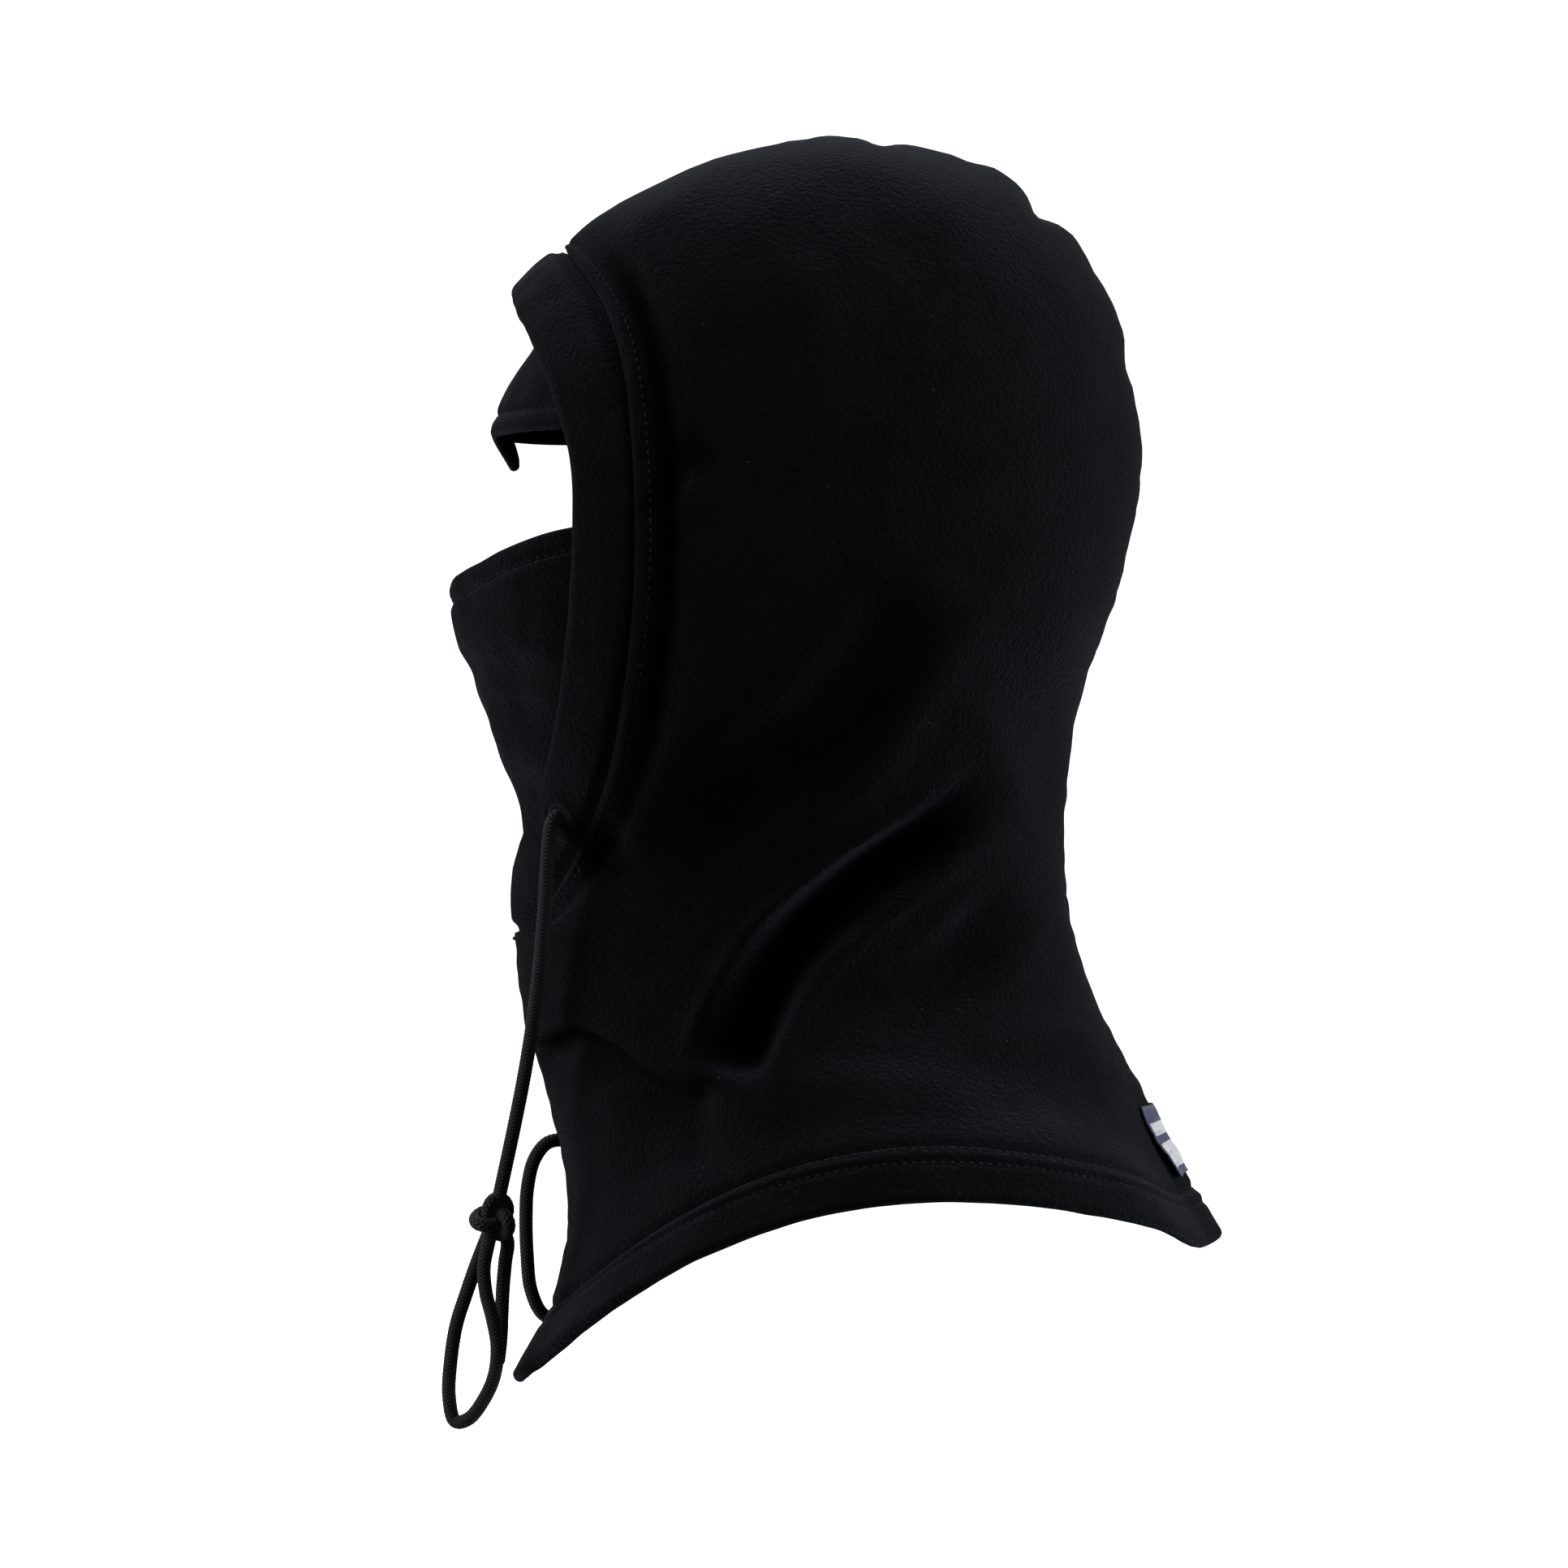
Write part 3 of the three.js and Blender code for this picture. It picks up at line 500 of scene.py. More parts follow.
centre_points = [
    (0, -88.5, 86), (0, -62, 104), (0, -20, 119.5), (0, 30, 121.5), (0, 72, 105), (0, 101, 74),
    (0, 114.5, 28),
    (0, 114, -14), (0, 106, -44), (0, 97, -70), (0, 92, -92), (0, 89.5, -112), (0, 89, -128), (0, 89.5, -142),
    (0, 91.5, -155), (0, 95, -168), (0, 100, -182), (0, 107, -196), (0, 115.5, -211), (0, 123, -226),
    (0, 130, -238), (0, 136, -248),
]
front_points = [
    (0, -105.5, -158), (0, -104.5, -176), (0, -100, -196), (0, -94.5, -215), (0, -89.5, -235), (0, -87, -262),
    (0, -93, -291),
]
face_seam_points = [
    (0, -89.5, 84.5), (34, -84, 77), (60, -73, 60), (76, -66, 38), (84, -62, 0), (82, -62, -38),
    (74, -66, -75),
    (62, -72, -104), (44, -83, -130), (22, -96, -150), (0, -105.5, -158),
]
hem_fold_back = np.array((0, 146, -265.5))
hem_fold_front = np.array((0, -107.5, -315.5))
width_shares = (
    [share * HEAD_HALF_WIDTH for share in (0.09, 0.34, 0.6, 0.78, 0.9, 0.97, 1, 1, 0.98)]
    + [share * NECK_HALF_WIDTH for share in (1.22, 1.15, 1.09, 1.04, 1.015, 1, 1, 1.015)]
    + [share * BIB_HALF_WIDTH for share in (0.73, 0.78, 0.85, 0.92, 1)]
)
side_rises = [0] * 16 + [3, 8, 15, 23, 31, 40]


def smooth_curve(points, closed=False):
    """A function that gives the point of the smooth curve at any share between 0 and 1."""
    points = [np.array(point, float) for point in points]
    shares = np.linspace(0, 1, 50 * len(points) + 1)
    table = np.array([smooth_point(points, share, closed) for share in shares])
    return lambda share: at_marks(share, shares, table)


def face_loop(left_points):
    """The closed loop round the face: 0 in the middle of the brow, 0.5 in the middle of the chin."""
    return smooth_curve(left_points + [(-x, y, z) for x, y, z in reversed(left_points[1:-1])], closed=True)


centre_line = smooth_curve(centre_points)
front_line = smooth_curve(front_points)
face_seam = face_loop(face_seam_points)
spread_line = smooth_curve([(width, rise, 0) for width, rise in zip(width_shares, side_rises)])


def smooth_step(value, low, high):
    """0 below the low value, 1 above the high one and a smooth rise between them."""
    share = np.clip((value - low) / (high - low), 0, 1)
    return share * share * (3 - 2 * share)


def bell(value, reach):
    """1 where the value is 0, falling away smoothly over this reach."""
    return np.exp(-(value / reach) ** 2)


def hood_surface(key, share, edge=SEAM_SIDE):
    """The left side's outer face. Key runs from the brow over the crown and down the back to the bib's hem,
    share from the back seam to the face seam or, below the chin, to the front seam."""
    key, share = np.broadcast_arrays(np.asarray(key, float), np.asarray(share, float))
    hem = np.clip(key - HEM_KEY, 0, 1)
    upper = np.minimum(key, HEM_KEY)
    spread = spread_line(upper / HEM_KEY)
    back = centre_line(upper / HEM_KEY)
    beside_face = (upper <= CHIN_KEY)[..., None]
    front = np.where(beside_face, face_seam(np.minimum(upper, CHIN_KEY) / CHIN_KEY / 2),
                     front_line(np.maximum(upper - CHIN_KEY, 0) / (HEM_KEY - CHIN_KEY)))
    back = back + (hem_fold_back - back) * hem[..., None]
    front = front + (hem_fold_front - front) * hem[..., None]
    half_width = spread[..., 0] + BIB_FLARE * hem
    rise = spread[..., 1] + (HEM_RISE - spread[..., 1]) * hem
    first = np.arcsin(edge / half_width)
    last = np.pi - np.arcsin(np.minimum(1, np.maximum(front[..., 0], edge) / half_width))
    turn = first + (last - first) * share
    along = (np.cos(first) - np.cos(turn)) / (np.cos(first) - np.cos(last))
    lift = rise * np.sin(turn) ** 2 * (1 - REAR_RISE * np.cos(turn))
    return np.stack([
        half_width * np.sin(turn),
        back[..., 1] + (front[..., 1] - back[..., 1]) * along,
        back[..., 2] + (front[..., 2] - back[..., 2]) * along + lift,
    ], axis=-1)


def outward_normals(places):
    """Unit normals of a grid of points, turned away from the middle of the garment."""
    along = np.gradient(places, axis=0)
    across = np.gradient(places, axis=1)
    normals = np.cross(across, along)
    normals /= np.maximum(np.linalg.norm(normals, axis=-1), 1e-9)[..., None]
    middle = places[places.shape[0] // 2, places.shape[1] // 2]
    towards = normals[places.shape[0] // 2, places.shape[1] // 2]
    return normals if np.dot(towards, middle - np.array((0, 0, middle[2]))) > 0 else -normals


def from_route(places, route):
    """Each point's distance from a route on the side of the garment, and its share of the route's length."""
    line = smooth_curve([(0, y, z) for y, z in route])(np.linspace(0, 1, 50))[:, 1:]
    flat = places[..., 1:]
    nearest = np.full(flat.shape[:-1], 1e9)
    share = np.zeros(flat.shape[:-1])
    side = np.zeros(flat.shape[:-1])
    for number, (start, end) in enumerate(zip(line[:-1], line[1:])):
        run = end - start
        part = np.clip(((flat - start) @ run) / (run @ run), 0, 1)
        off = flat - start - part[..., None] * run
        distance = np.linalg.norm(off, axis=-1)
        closer = distance < nearest
        nearest = np.where(closer, distance, nearest)
        share = np.where(closer, (number + part) / (len(line) - 1), share)
        side = np.where(closer, np.sign(run[0] * off[..., 1] - run[1] * off[..., 0]), side)
    return nearest * side, share


# Each fold: its route in (y, z), its depth, its half-width at the start and at the end, how high the cloth
# beside it swells on the upper and on the lower side, the shares of its length over which it begins and
# dies away, and how steep its upper wall is beside its lower one.
neck_folds = [
    ([(-31, -208), (-25, -190), (-10, -163), (15, -140.5), (40, -123), (67, -98)],
     17, 11, 8.2, 3.2, 3, 0.2, 0.42, 1.15),
    ([(-64, -143), (-29, -110), (3, -86.5), (28.5, -52), (43, -30)], 6.5, 17, 13, 0.7, 2, 0.25, 0.5, 1),
    ([(28, -183), (54, -164), (76, -139)], 4.5, 12, 10, 1.0, 1.5, 0.5, 0.5, 1),
    ([(-88, -110), (-78, -124), (-66, -143)], 4, 6, 9, 0.3, 0.3, 0.3, 0.5, 1),
    ([(-56, -18), (-47, 3), (-35, 14)], 2.6, 5, 7, 0.6, 0.3, 0.3, 0.5, 1),
    ([(58, -50), (82, -88), (90, -128)], 2.2, 14, 10, 0.8, 0.8, 0.4, 0.4, 1),
    ([(-14, 100), (18, 82), (38, 46)], 1.8, 16, 20, 0.5, 0.5, 0.4, 0.4, 1),
    ([(-75, -238), (-50, -228), (-20, -226)], 3, 12, 14, 1, 1, 0.4, 0.4, 1),
    ([(40, -215), (80, -212), (112, -226)], 2.5, 14, 12, 1, 1, 0.4, 0.4, 1),
]
chin_crease = [(-32, -212), (-46, -211), (-59, -205.5), (-72, -197), (-84, -193.5), (-95, -199), (-101, -203)]
RIGHT_SIDE_DRIFT = 5                # how far the right side's folds lie from the left side's mirrored ones

# Each mark that the crown and back seam leaves in the outline: its y and z, how far it rises, and its
# reach.
crown_marks = [
    (24, 121, -2.6, 4.5), (6, 122, 1.5, 14), (46, 118, 1.2, 12), (80, 96, -4.2, 4.5), (66, 109, 2.6, 9),
    (92, 86, 1.4, 8), (108, 60, 1.6, 10), (112, 42, -1.2, 6), (116, 10, 1.2, 16), (113, -20, -0.9, 9),
]


def cloth_noise(places, size, seed):
    """Smooth random heights between about -1 and 1, in lumps of about this size."""
    flat = places.reshape(-1, 3) / size + seed * 17.3
    return np.array([noise.noise(Vector(place)) for place in flat]).reshape(places.shape[:-1])


def from_fold(places, route, seed):
    """Distance and share along a fold's route, which lies a little aside on the right."""
    drift = RIGHT_SIDE_DRIFT * seed
    return from_route(places, [(y + drift * 0.7, z + drift) for y, z in route])


def from_chin_crease(places, seed):
    """Distance and share along the crease below the chin."""
    return from_route(places, [(y, z + RIGHT_SIDE_DRIFT * seed * 0.5) for y, z in chin_crease])


def fold_heights(places, facing, seed):
    """How far the cloth stands out from its smooth shape, in millimetres."""
    height = 1.1 * cloth_noise(places, 52, seed) + 0.35 * cloth_noise(places, 17, seed + 3)
    sideways = smooth_step(facing, 0.1, 0.55)
    for route, depth, start_width, end_width, upper, lower, begins, dies, steep in neck_folds:
        distance, share = from_fold(places, route, seed)
        width = start_width + (end_width - start_width) * share
        width = width * np.where(distance > 0, 1 / steep, steep ** 0.3)
        taper = smooth_step(share, 0, begins) * (1 - smooth_step(share, 1 - dies, 1))
        dip = np.exp(-np.abs(distance / width) ** 2.8)
        swell = bell(np.abs(distance) / width - 1.45, 0.5)
        beside = np.where(distance > 0, upper, lower) * swell
        height += sideways * taper * (beside - depth * dip)
    distance, share = from_chin_crease(places, seed)
    below = np.where(distance < 0, bell(distance, 2.2), bell(distance, 10))
    height += smooth_step(share, 0.0, 0.12) * (2.2 * bell(distance + 9, 8) - 5.6 * below)
    return height


# The folds whose bottoms get painted shade: which of them, how dark, how wide beside its half-width.
painted_shade_folds = ((0, 0.95, 1.15), (1, 0.5, 1.5), (2, 0.3, 1.0), (3, 0.6, 1.2), (4, 0.55, 1.2))


def painted_shade_in_folds(places, facing, seed):
    """How much painted shade lies in the bottoms of the folds and along the chin crease, from 0 to 1."""
    painted_fold_shade = np.zeros(places.shape[:-1])
    for number, most, spread in painted_shade_folds:
        route, _, start_width, end_width, *_ = neck_folds[number]
        distance, share = from_fold(places, route, seed)
        width = spread * (start_width + (end_width - start_width) * share)
        taper = smooth_step(share, 0, 0.17) * (1 - smooth_step(share, 0.8, 1))
        painted_fold_shade = np.maximum(painted_fold_shade, most * taper * np.exp(-np.abs(distance / width) ** 3))
    distance, share = from_chin_crease(places, seed)
    crease = smooth_step(share, 0.0, 0.1) * (1 - smooth_step(share, 0.85, 1))
    painted_fold_shade = np.maximum(painted_fold_shade, 0.85 * crease * bell(distance + 1.5, 3.2))
    return smooth_step(facing, 0.0, 0.45) * painted_fold_shade


def crown_heights(places, seed):
    """Puckers and dents that the sewn crown and back seam pulls into the cloth beside it."""
    x, y, z = places[..., 0], places[..., 1], places[..., 2]
    height = -1.5 * bell(x, 1.6)
    height += 0.9 * cloth_noise(places * (0.15, 1, 1), 7.5, seed + 6) * bell(x, 9)
    for mark_y, mark_z, rise, reach in crown_marks:
        height += rise * bell(np.hypot(y - mark_y, z - mark_z), reach) * bell(x, 20)
    return height


def back_ridge(places, keys):
    """The cloth falls away on each side of the back seam as the bib spreads."""
    x = places[..., 0]
    beside = smooth_step(x, 1, 20) * (1 - smooth_step(x, 28, 72)) * (places[..., 1] > 0)
    return -5.0 * smooth_step(keys, 16.5, 20) * beside


def sewn_height(distance, rows, depth=0.9, reach=1.3):
    """The small grooves that rows of stitches pull into the cloth, at these distances from its edge."""
    return -sum(depth * bell(distance - row, reach) for row in rows)


FACE_ROW = 6.0                      # the second row of stitches behind the casing


def hood_panel_places(rows, columns, seed):
    """The panel's outer face as a grid of points, folds and seams included, and its share of painted shade.
    """
    keys = np.linspace(FIRST_KEY, HEM_KEY, rows + 1)[:, None]
    shares = np.linspace(0, 1, columns + 1)[None, :]
    smooth = hood_surface(keys, shares)
    past_hem = np.linspace(FIRST_KEY, HEM_KEY + 1e-3, rows + 1)[:, None]
    normals = outward_normals(hood_surface(past_hem, shares))
    from_front = np.linalg.norm(smooth - smooth[:, -1:], axis=-1)
    from_brow = np.linalg.norm(smooth - smooth[:1], axis=-1)
    to_hem = np.linalg.norm(smooth - smooth[-1:], axis=-1)
    beside_face = 1 - smooth_step(keys, CHIN_KEY - 0.6, CHIN_KEY + 0.1)
    height = fold_heights(smooth, normals[..., 0], seed)
    height = height * smooth_step(from_front, 0, 16) * smooth_step(to_hem, -2, 26)
    height += crown_heights(smooth, seed) + back_ridge(smooth, keys)
    height += -1.6 * bell(from_brow, 7)
    height += beside_face * (sewn_height(from_front, (FACE_ROW,), 0.7) - 1.5 * bell(from_front, 1.8)
                             - 2.4 * bell(from_front - 12.5, 5.5) * smooth_step(keys, 0.5, 2.5))
    height += (1 - beside_face) * (-1.6 * bell(from_front, 2.2))
    height += -1.1 * bell(to_hem, 2.2)
    places = smooth + normals * height[..., None]
    places[..., 0] = np.maximum(places[..., 0], SEAM_SIDE)
    # Painted shade in a band just behind the casing, beside the face.
    painted_shade_behind_casing = bell(from_front - 12, 5.5) * smooth_step(keys, 1.2, 3) * (1 - smooth_step(keys, 9, 13))
    painted_fold_shade = np.maximum(painted_shade_in_folds(smooth, normals[..., 0], seed), 0.8 * painted_shade_behind_casing)
    return places, normals, painted_fold_shade


def bent_grid(places, mirror=False, painted_fold_shade=None):
    """A flat grid bent to these points, mirrored for the right side."""
    shape = bmesh.new()
    # A vertex layer that carries the share of painted shade, when one is given.
    pile = shape.verts.layers.float.new("painted_fold_shade") if painted_fold_shade is not None else None
    shape.loops.layers.uv.new("panel")
    bmesh.ops.create_grid(shape, x_segments=places.shape[1] - 1, y_segments=places.shape[0] - 1, size=0.5,
                          calc_uvs=True)
    for vert, place in zip(shape.verts, places.reshape(-1, 3)):
        vert.co = place
    if pile is not None:
        for vert, share in zip(shape.verts, painted_fold_shade.reshape(-1)):
            vert[pile] = share
    if mirror:
        bmesh.ops.scale(shape, vec=(-1, 1, 1), verts=shape.verts)
    shape.normal_update()
    return shape


def cloth_piece(places, name, material, mirror=False, wall=FLEECE, inward=None, painted_fold_shade=None):
    """The grid of points as a sheet of cloth of this thickness, its outer face on the points."""
    shape = bent_grid(places, mirror, painted_fold_shade)
    bmesh.ops.remove_doubles(shape, verts=shape.verts, dist=0.01)
    middle = places[places.shape[0] // 2, places.shape[1] // 2] * ((-1, 1, 1) if mirror else (1, 1, 1))
    face = min(shape.faces, key=lambda face: (face.calc_center_median() - Vector(middle)).length)
    face.normal_update()
    inside = Vector(inward) if inward is not None else Vector((0, 0, middle[2]))
    if face.normal.dot(face.calc_center_median() - inside) < 0:
        bmesh.ops.reverse_faces(shape, faces=shape.faces)
    piece = finished(shape, name, material)
    thickness = piece.modifiers.new("thickness", "SOLIDIFY")
    thickness.thickness = wall * MM
    thickness.offset = -1
    return piece


PANEL_ROWS, PANEL_COLUMNS = 300, 150
SIDES = (("left", 0.0), ("right", 1.0))         # each side and the seed of its wrinkles
hood_grids = {}
for side, seed in SIDES:
    places, normals, painted_fold_shade = hood_panel_places(PANEL_ROWS, PANEL_COLUMNS, seed)
    hood_grids[side] = places, normals
    panel = cloth_piece(places, f"hood_{side}", hood_fleece, side == "right", painted_fold_shade=painted_fold_shade)
    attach(panel, "hood")
    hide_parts(f"hood_panel_{side}")


# ---- Casings -------------------------------------------------------------------------------------
# A strip of the same fleece is folded over the drawcord all round the face and sewn down behind it, in two
# mirrored halves that meet at the brow and under the chin. It stands about 3 mm proud of the hood.
CASING_LEAF = 1.6
CORD_CHANNEL = 5.6                  # room for the cord between the two leaves
FLAT_CHANNEL = 0.9                  # and under the chin, past the buttonholes, where there is no cord
HOLE_T, HOLE_ACROSS, HOLE_RADIUS = 0.389, 0.45, 3.1
THIN_T = 0.425
LEAF_ROWS, FOLD_ROWS = 36, 17
SEAM_OVERLAP = 0.3                  # how far the sewn ends of the two halves run into each other
face_fold = face_loop([
    (0, -108, 68.5), (30, -105.5, 62), (54, -98, 47), (69, -91, 30), (76, -84.5, 0), (74, -85, -38),
    (65, -88, -68),
    (53, -92, -91), (37, -97.5, -110), (19, -103, -125), (0, -105.5, -133),
])


def casing_frame(t):
    """For places round the face: seam, directions across and outwards, width and the cord's room."""
    seam, fold = face_seam(t), face_fold(t)
    across = fold - seam
    width = np.linalg.norm(across, axis=-1)
    across = across / width[..., None]
    tangent = (face_seam(t + 1e-3) - face_seam(np.maximum(t - 1e-3, 0)))
    tangent -= across * np.sum(tangent * across, axis=-1)[..., None]
    tangent /= np.linalg.norm(tangent, axis=-1)[..., None]
    outwards = np.cross(across, tangent)
    channel = CORD_CHANNEL + (FLAT_CHANNEL - CORD_CHANNEL) * smooth_step(t, HOLE_T + 0.012, THIN_T)
    return seam, across, outwards, width, channel


hole_seam, hole_across, hole_outwards, hole_width, _ = casing_frame(np.array(HOLE_T))
hole_centre = hole_seam + hole_across * hole_width * HOLE_ACROSS + hole_outwards * 1.6


def casing_places(steps, seed):
    """The casing's outer face: over the cord from the seam, round the front fold and back inside."""
    t = np.linspace(0, 0.5, steps + 1)
    seam, across, outwards, width, channel = casing_frame(t)
    nose = (channel + 2 * CASING_LEAF) / 2
    leaf = np.linspace(0, 1, LEAF_ROWS)
    rows = [seam - across * back - outwards * deep for back, deep in ((4.5, 5.2), (2.2, 4.4), (0.6, 3.2))]
    for share in leaf:
        proud = 2.3 * smooth_step(share, 0.0, 0.22) + 0.9 * math.sin(math.pi * share) - 1.5
        proud -= 0.35 * bell(share - 0.085, 0.035)
        reach = 0.3 + (width - nose - 0.3) * share
        rows.append(seam + across * reach[:, None] + outwards * (proud * np.ones_like(t))[:, None])
    top = 0.7
    for turn in np.linspace(0, math.pi, FOLD_ROWS + 1)[1:]:
        reach = width - nose + nose * math.sin(turn)
        depth = (top - 2 * nose) / 2 + (top + 2 * nose) / 2 * math.cos(turn)
        rows.append(seam + across * reach[:, None] + outwards * depth[:, None])
    for share in leaf[::-3][1:]:
        reach = 0.8 + (width - nose - 0.8) * share
        rows.append(seam + across * reach[:, None] - outwards * (2 * nose)[:, None])
    smooth = np.stack(rows, axis=1)
    normals = outward_normals(smooth)
    length = run_along(face_fold(t))[:, None]
    column = np.arange(smooth.shape[1])[None, :]
    outer = 1 - smooth_step(column, 47, 57)
    free = smooth_step(column, 4, 15) * outer
    flat = np.stack(np.broadcast_arrays(length, column * 0.25, 0 * length), axis=-1)
    ripple = cloth_noise(flat, 8.5, seed + 2)
    flat = np.stack(np.broadcast_arrays(length, column * 0.4, 5 + 0 * length), axis=-1)
    slack = cloth_noise(flat, 26, seed + 4)
    pull = 0.35 + 0.75 * bell(length, 45) + 0.8 * bell(t[:, None] - HOLE_T - 0.03, 0.03)
    height = free * (0.75 * ripple * pull + 0.6 * slack)
    from_hole = np.linalg.norm(smooth - hole_centre, axis=-1)
    height += outer * (0.9 * bell(from_hole - 6.5, 2.5) * smooth_step(column, 5, 11)
                       - 3.0 * (1 - smooth_step(from_hole, 1.8, 3.3)))
    places = smooth + normals * height[..., None]
    places[..., 0] = np.maximum(places[..., 0], 0.15)
    places[(0, -1), :, 0] = -SEAM_OVERLAP
    return places, normals


CASING_STEPS = 280
casing_grids = {}
for side, seed in SIDES:
    places, normals = casing_places(CASING_STEPS, seed)
    casing_grids[side] = places, normals
    casing = cloth_piece(places, f"casing_band_{side}", hood_fleece, side == "right", CASING_LEAF)
    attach(casing, "hood")
    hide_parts(f"casing_{side}")


# ---- Bib hems ------------------------------------------------------------------------------------
# The lower edge of each panel is turned up inside and sewn down with two rows of stitches, so that it is a
# soft double band about 5 mm thick with a round fold.
HEM_THICKNESS = 5.0
HEM_ROWS, HEM_COLUMNS = 22, 260


def folded_edge(outer, normals, thickness, turns=8):
    """Rows from a seam down to an edge, carried on round the fold and back up inside, this thick in all. A
    flange starts them, tucked into the thickness of the neighbouring cloth."""
    nose = thickness / 2
    start = outer[1] - outer[0]
    start /= np.linalg.norm(start, axis=-1)[..., None]
    tucks = ((4.0, 0.6), (2.0, 0.7), (0.5, 0.6))
    flange = [outer[0] - start * back - normals[0] * deep for back, deep in tucks]
    run = outer[-1] - outer[-2]
    run /= np.linalg.norm(run, axis=-1)[..., None]
    centre = outer[-1] - normals[-1] * nose
    rows = flange + list(outer)
    for turn in np.linspace(0, math.pi, turns + 1)[1:]:
        rows.append(centre + normals[-1] * nose * math.cos(turn) + run * nose * math.sin(turn))
    for row, normal in zip(outer[::-2][1:], normals[::-2][1:]):
        rows.append(row - normal * thickness)
    return np.stack(rows)


def hem_places(columns, seed):
    """The bib's folded hem as a grid of points, with its grooves and soft waves."""
    shares = np.linspace(0, 1, columns + 1)[None, :]
    lengths = np.linalg.norm(hood_surface(FOLD_KEY, shares) - hood_surface(HEM_KEY, shares), axis=-1)
    down = np.linspace(0, 1, HEM_ROWS)[:, None] * (1 - HEM_THICKNESS / 2 / lengths)
    smooth = hood_surface(HEM_KEY + down, shares)
    normals = outward_normals(smooth)
    from_seam = np.linalg.norm(smooth - smooth[:1], axis=-1)
    height = -1.1 * bell(from_seam, 2.2) + sewn_height(from_seam, (6.0,), 0.6, 1.5)
    height += 0.2 * bell(from_seam - 3.4, 1.6)
    soft = smooth_step(from_seam, 1, 12)
    height += soft * (0.9 * cloth_noise(smooth, 34, seed + 5) + 0.45 * cloth_noise(smooth, 11, seed + 8))
    height += back_ridge(smooth, HEM_KEY + down)
    return folded_edge(smooth + normals * height[..., None], normals, HEM_THICKNESS)


hem_grids = {}
for side, seed in SIDES:
    places = hem_places(HEM_COLUMNS, seed)
    places[:, (0, -1), 0] = -SEAM_OVERLAP
    hem_grids[side] = places
    hem = cloth_piece(places, f"bib_edge_{side}", hood_fleece, side == "right", CASING_LEAF)
    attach(hem, "hood")
    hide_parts(f"bib_hem_{side}")


# ---- Inner mask ----------------------------------------------------------------------------------
# A thinner fleece veil is sewn to the inside of the casing across nose, mouth and chin. Its top edge is a
# soft turned hem that is pulled down to uncover the face, so the hem moves.
MASK_FLEECE = 2.2
MASK_HEM_THICKNESS = 3.8
CASING_DEPTH = CORD_CHANNEL + 2 * CASING_LEAF
mask_fleece = fleece_finish("mask_fleece", (0.0008, 0.0008, 0.001, 1), (0.0038, 0.0039, 0.0046, 1), 860.0)


def inside_casing(outer_x, y, z):
    """A point on the inner face of the casing, from the x of its outer face."""
    return (outer_x - CASING_DEPTH, y, z)


mask_sides = smooth_curve([
    inside_casing(74.1, -62, -15), inside_casing(72.7, -62, -32), inside_casing(69.7, -62, -52),
    inside_casing(63.7, -63, -74), inside_casing(54.7, -66, -94), inside_casing(42.6, -72, -114),
    (18, -82, -133),
])
mask_fronts = smooth_curve([
    (0, -127.5, -33), (0, -127, -50), (0, -123, -66), (0, -116.5, -82), (0, -110, -100), (0, -104, -118),
    (0, -98.5, -137),
])
MASK_HEM_HEIGHT = 9
MASK_HEM_SHARE = MASK_HEM_HEIGHT / 104      # the hem's height over the mask's
VEIL_COLUMNS, VEIL_HEM_ROWS, VEIL_HEM_LEAF = 190, 16, 1.2


def veil(sides, fronts, shares):
    """Rows from one side of the face to the other at these shares of the veil's height."""
    turn = np.linspace(-math.pi / 2, math.pi / 2, VEIL_COLUMNS + 1)[None, :]
    forward = np.maximum(0, np.cos(turn))
    side, front = sides(shares)[:, None, :], fronts(shares)[:, None, :]
    return np.stack([
        side[..., 0] * np.sin(turn),
        side[..., 1] + (front[..., 1] - side[..., 1]) * forward ** 0.92,
        side[..., 2] + (front[..., 2] - side[..., 2]) * forward ** 2,
    ], axis=-1)


def forward_normals(places):
    """Unit normals of a veil's points, turned to the front."""
    normals = outward_normals(places)
    return normals if np.sum(normals[..., 1]) < 0 else -normals


def soft_veil(smooth, seed, depth):
    """The veil with the slack folds of thin cloth, none where it is sewn in at the sides."""
    normals = forward_normals(smooth)
    held = smooth_step(-smooth[..., 1], 62, 84)
    large, small = cloth_noise(smooth * (1, 1, 0.8), 27, seed), cloth_noise(smooth, 11, seed + 2)
    height = depth * large + 0.4 * depth * small
    return smooth + normals * (height * held)[..., None], normals


# Each fold of the mask: its route in (y, z), its depth and its half-width.
mask_folds = [
    ([(-127, -60), (-112, -68), (-92, -60)], 2.6, 7),
    ([(-120, -84), (-104, -80), (-86, -90)], 2.0, 8),
    ([(-112, -104), (-96, -112), (-80, -108)], 2.0, 8),
]
shares = MASK_HEM_SHARE + np.linspace(0, 1, 110) * (1 - MASK_HEM_SHARE)
smooth = veil(mask_sides, mask_fronts, shares)
places, normals = soft_veil(smooth, 2.0, 1.7)
height = 0
for route, depth, width in mask_folds:
    distance, share = from_route(smooth, route)
    height = height - depth * bell(distance, width) * np.sin(np.pi * np.clip(share, 0.02, 0.98))
from_hem = np.linalg.norm(smooth - smooth[:1], axis=-1)
height = height * smooth_step(from_hem, 0, 14) - bell(from_hem, 1.6)
mask = cloth_piece(places + normals * height[..., None], "mask_veil", mask_fleece,
                   wall=MASK_FLEECE, inward=(0, -60, -80))
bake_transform(mask)
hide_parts("mask_panel")


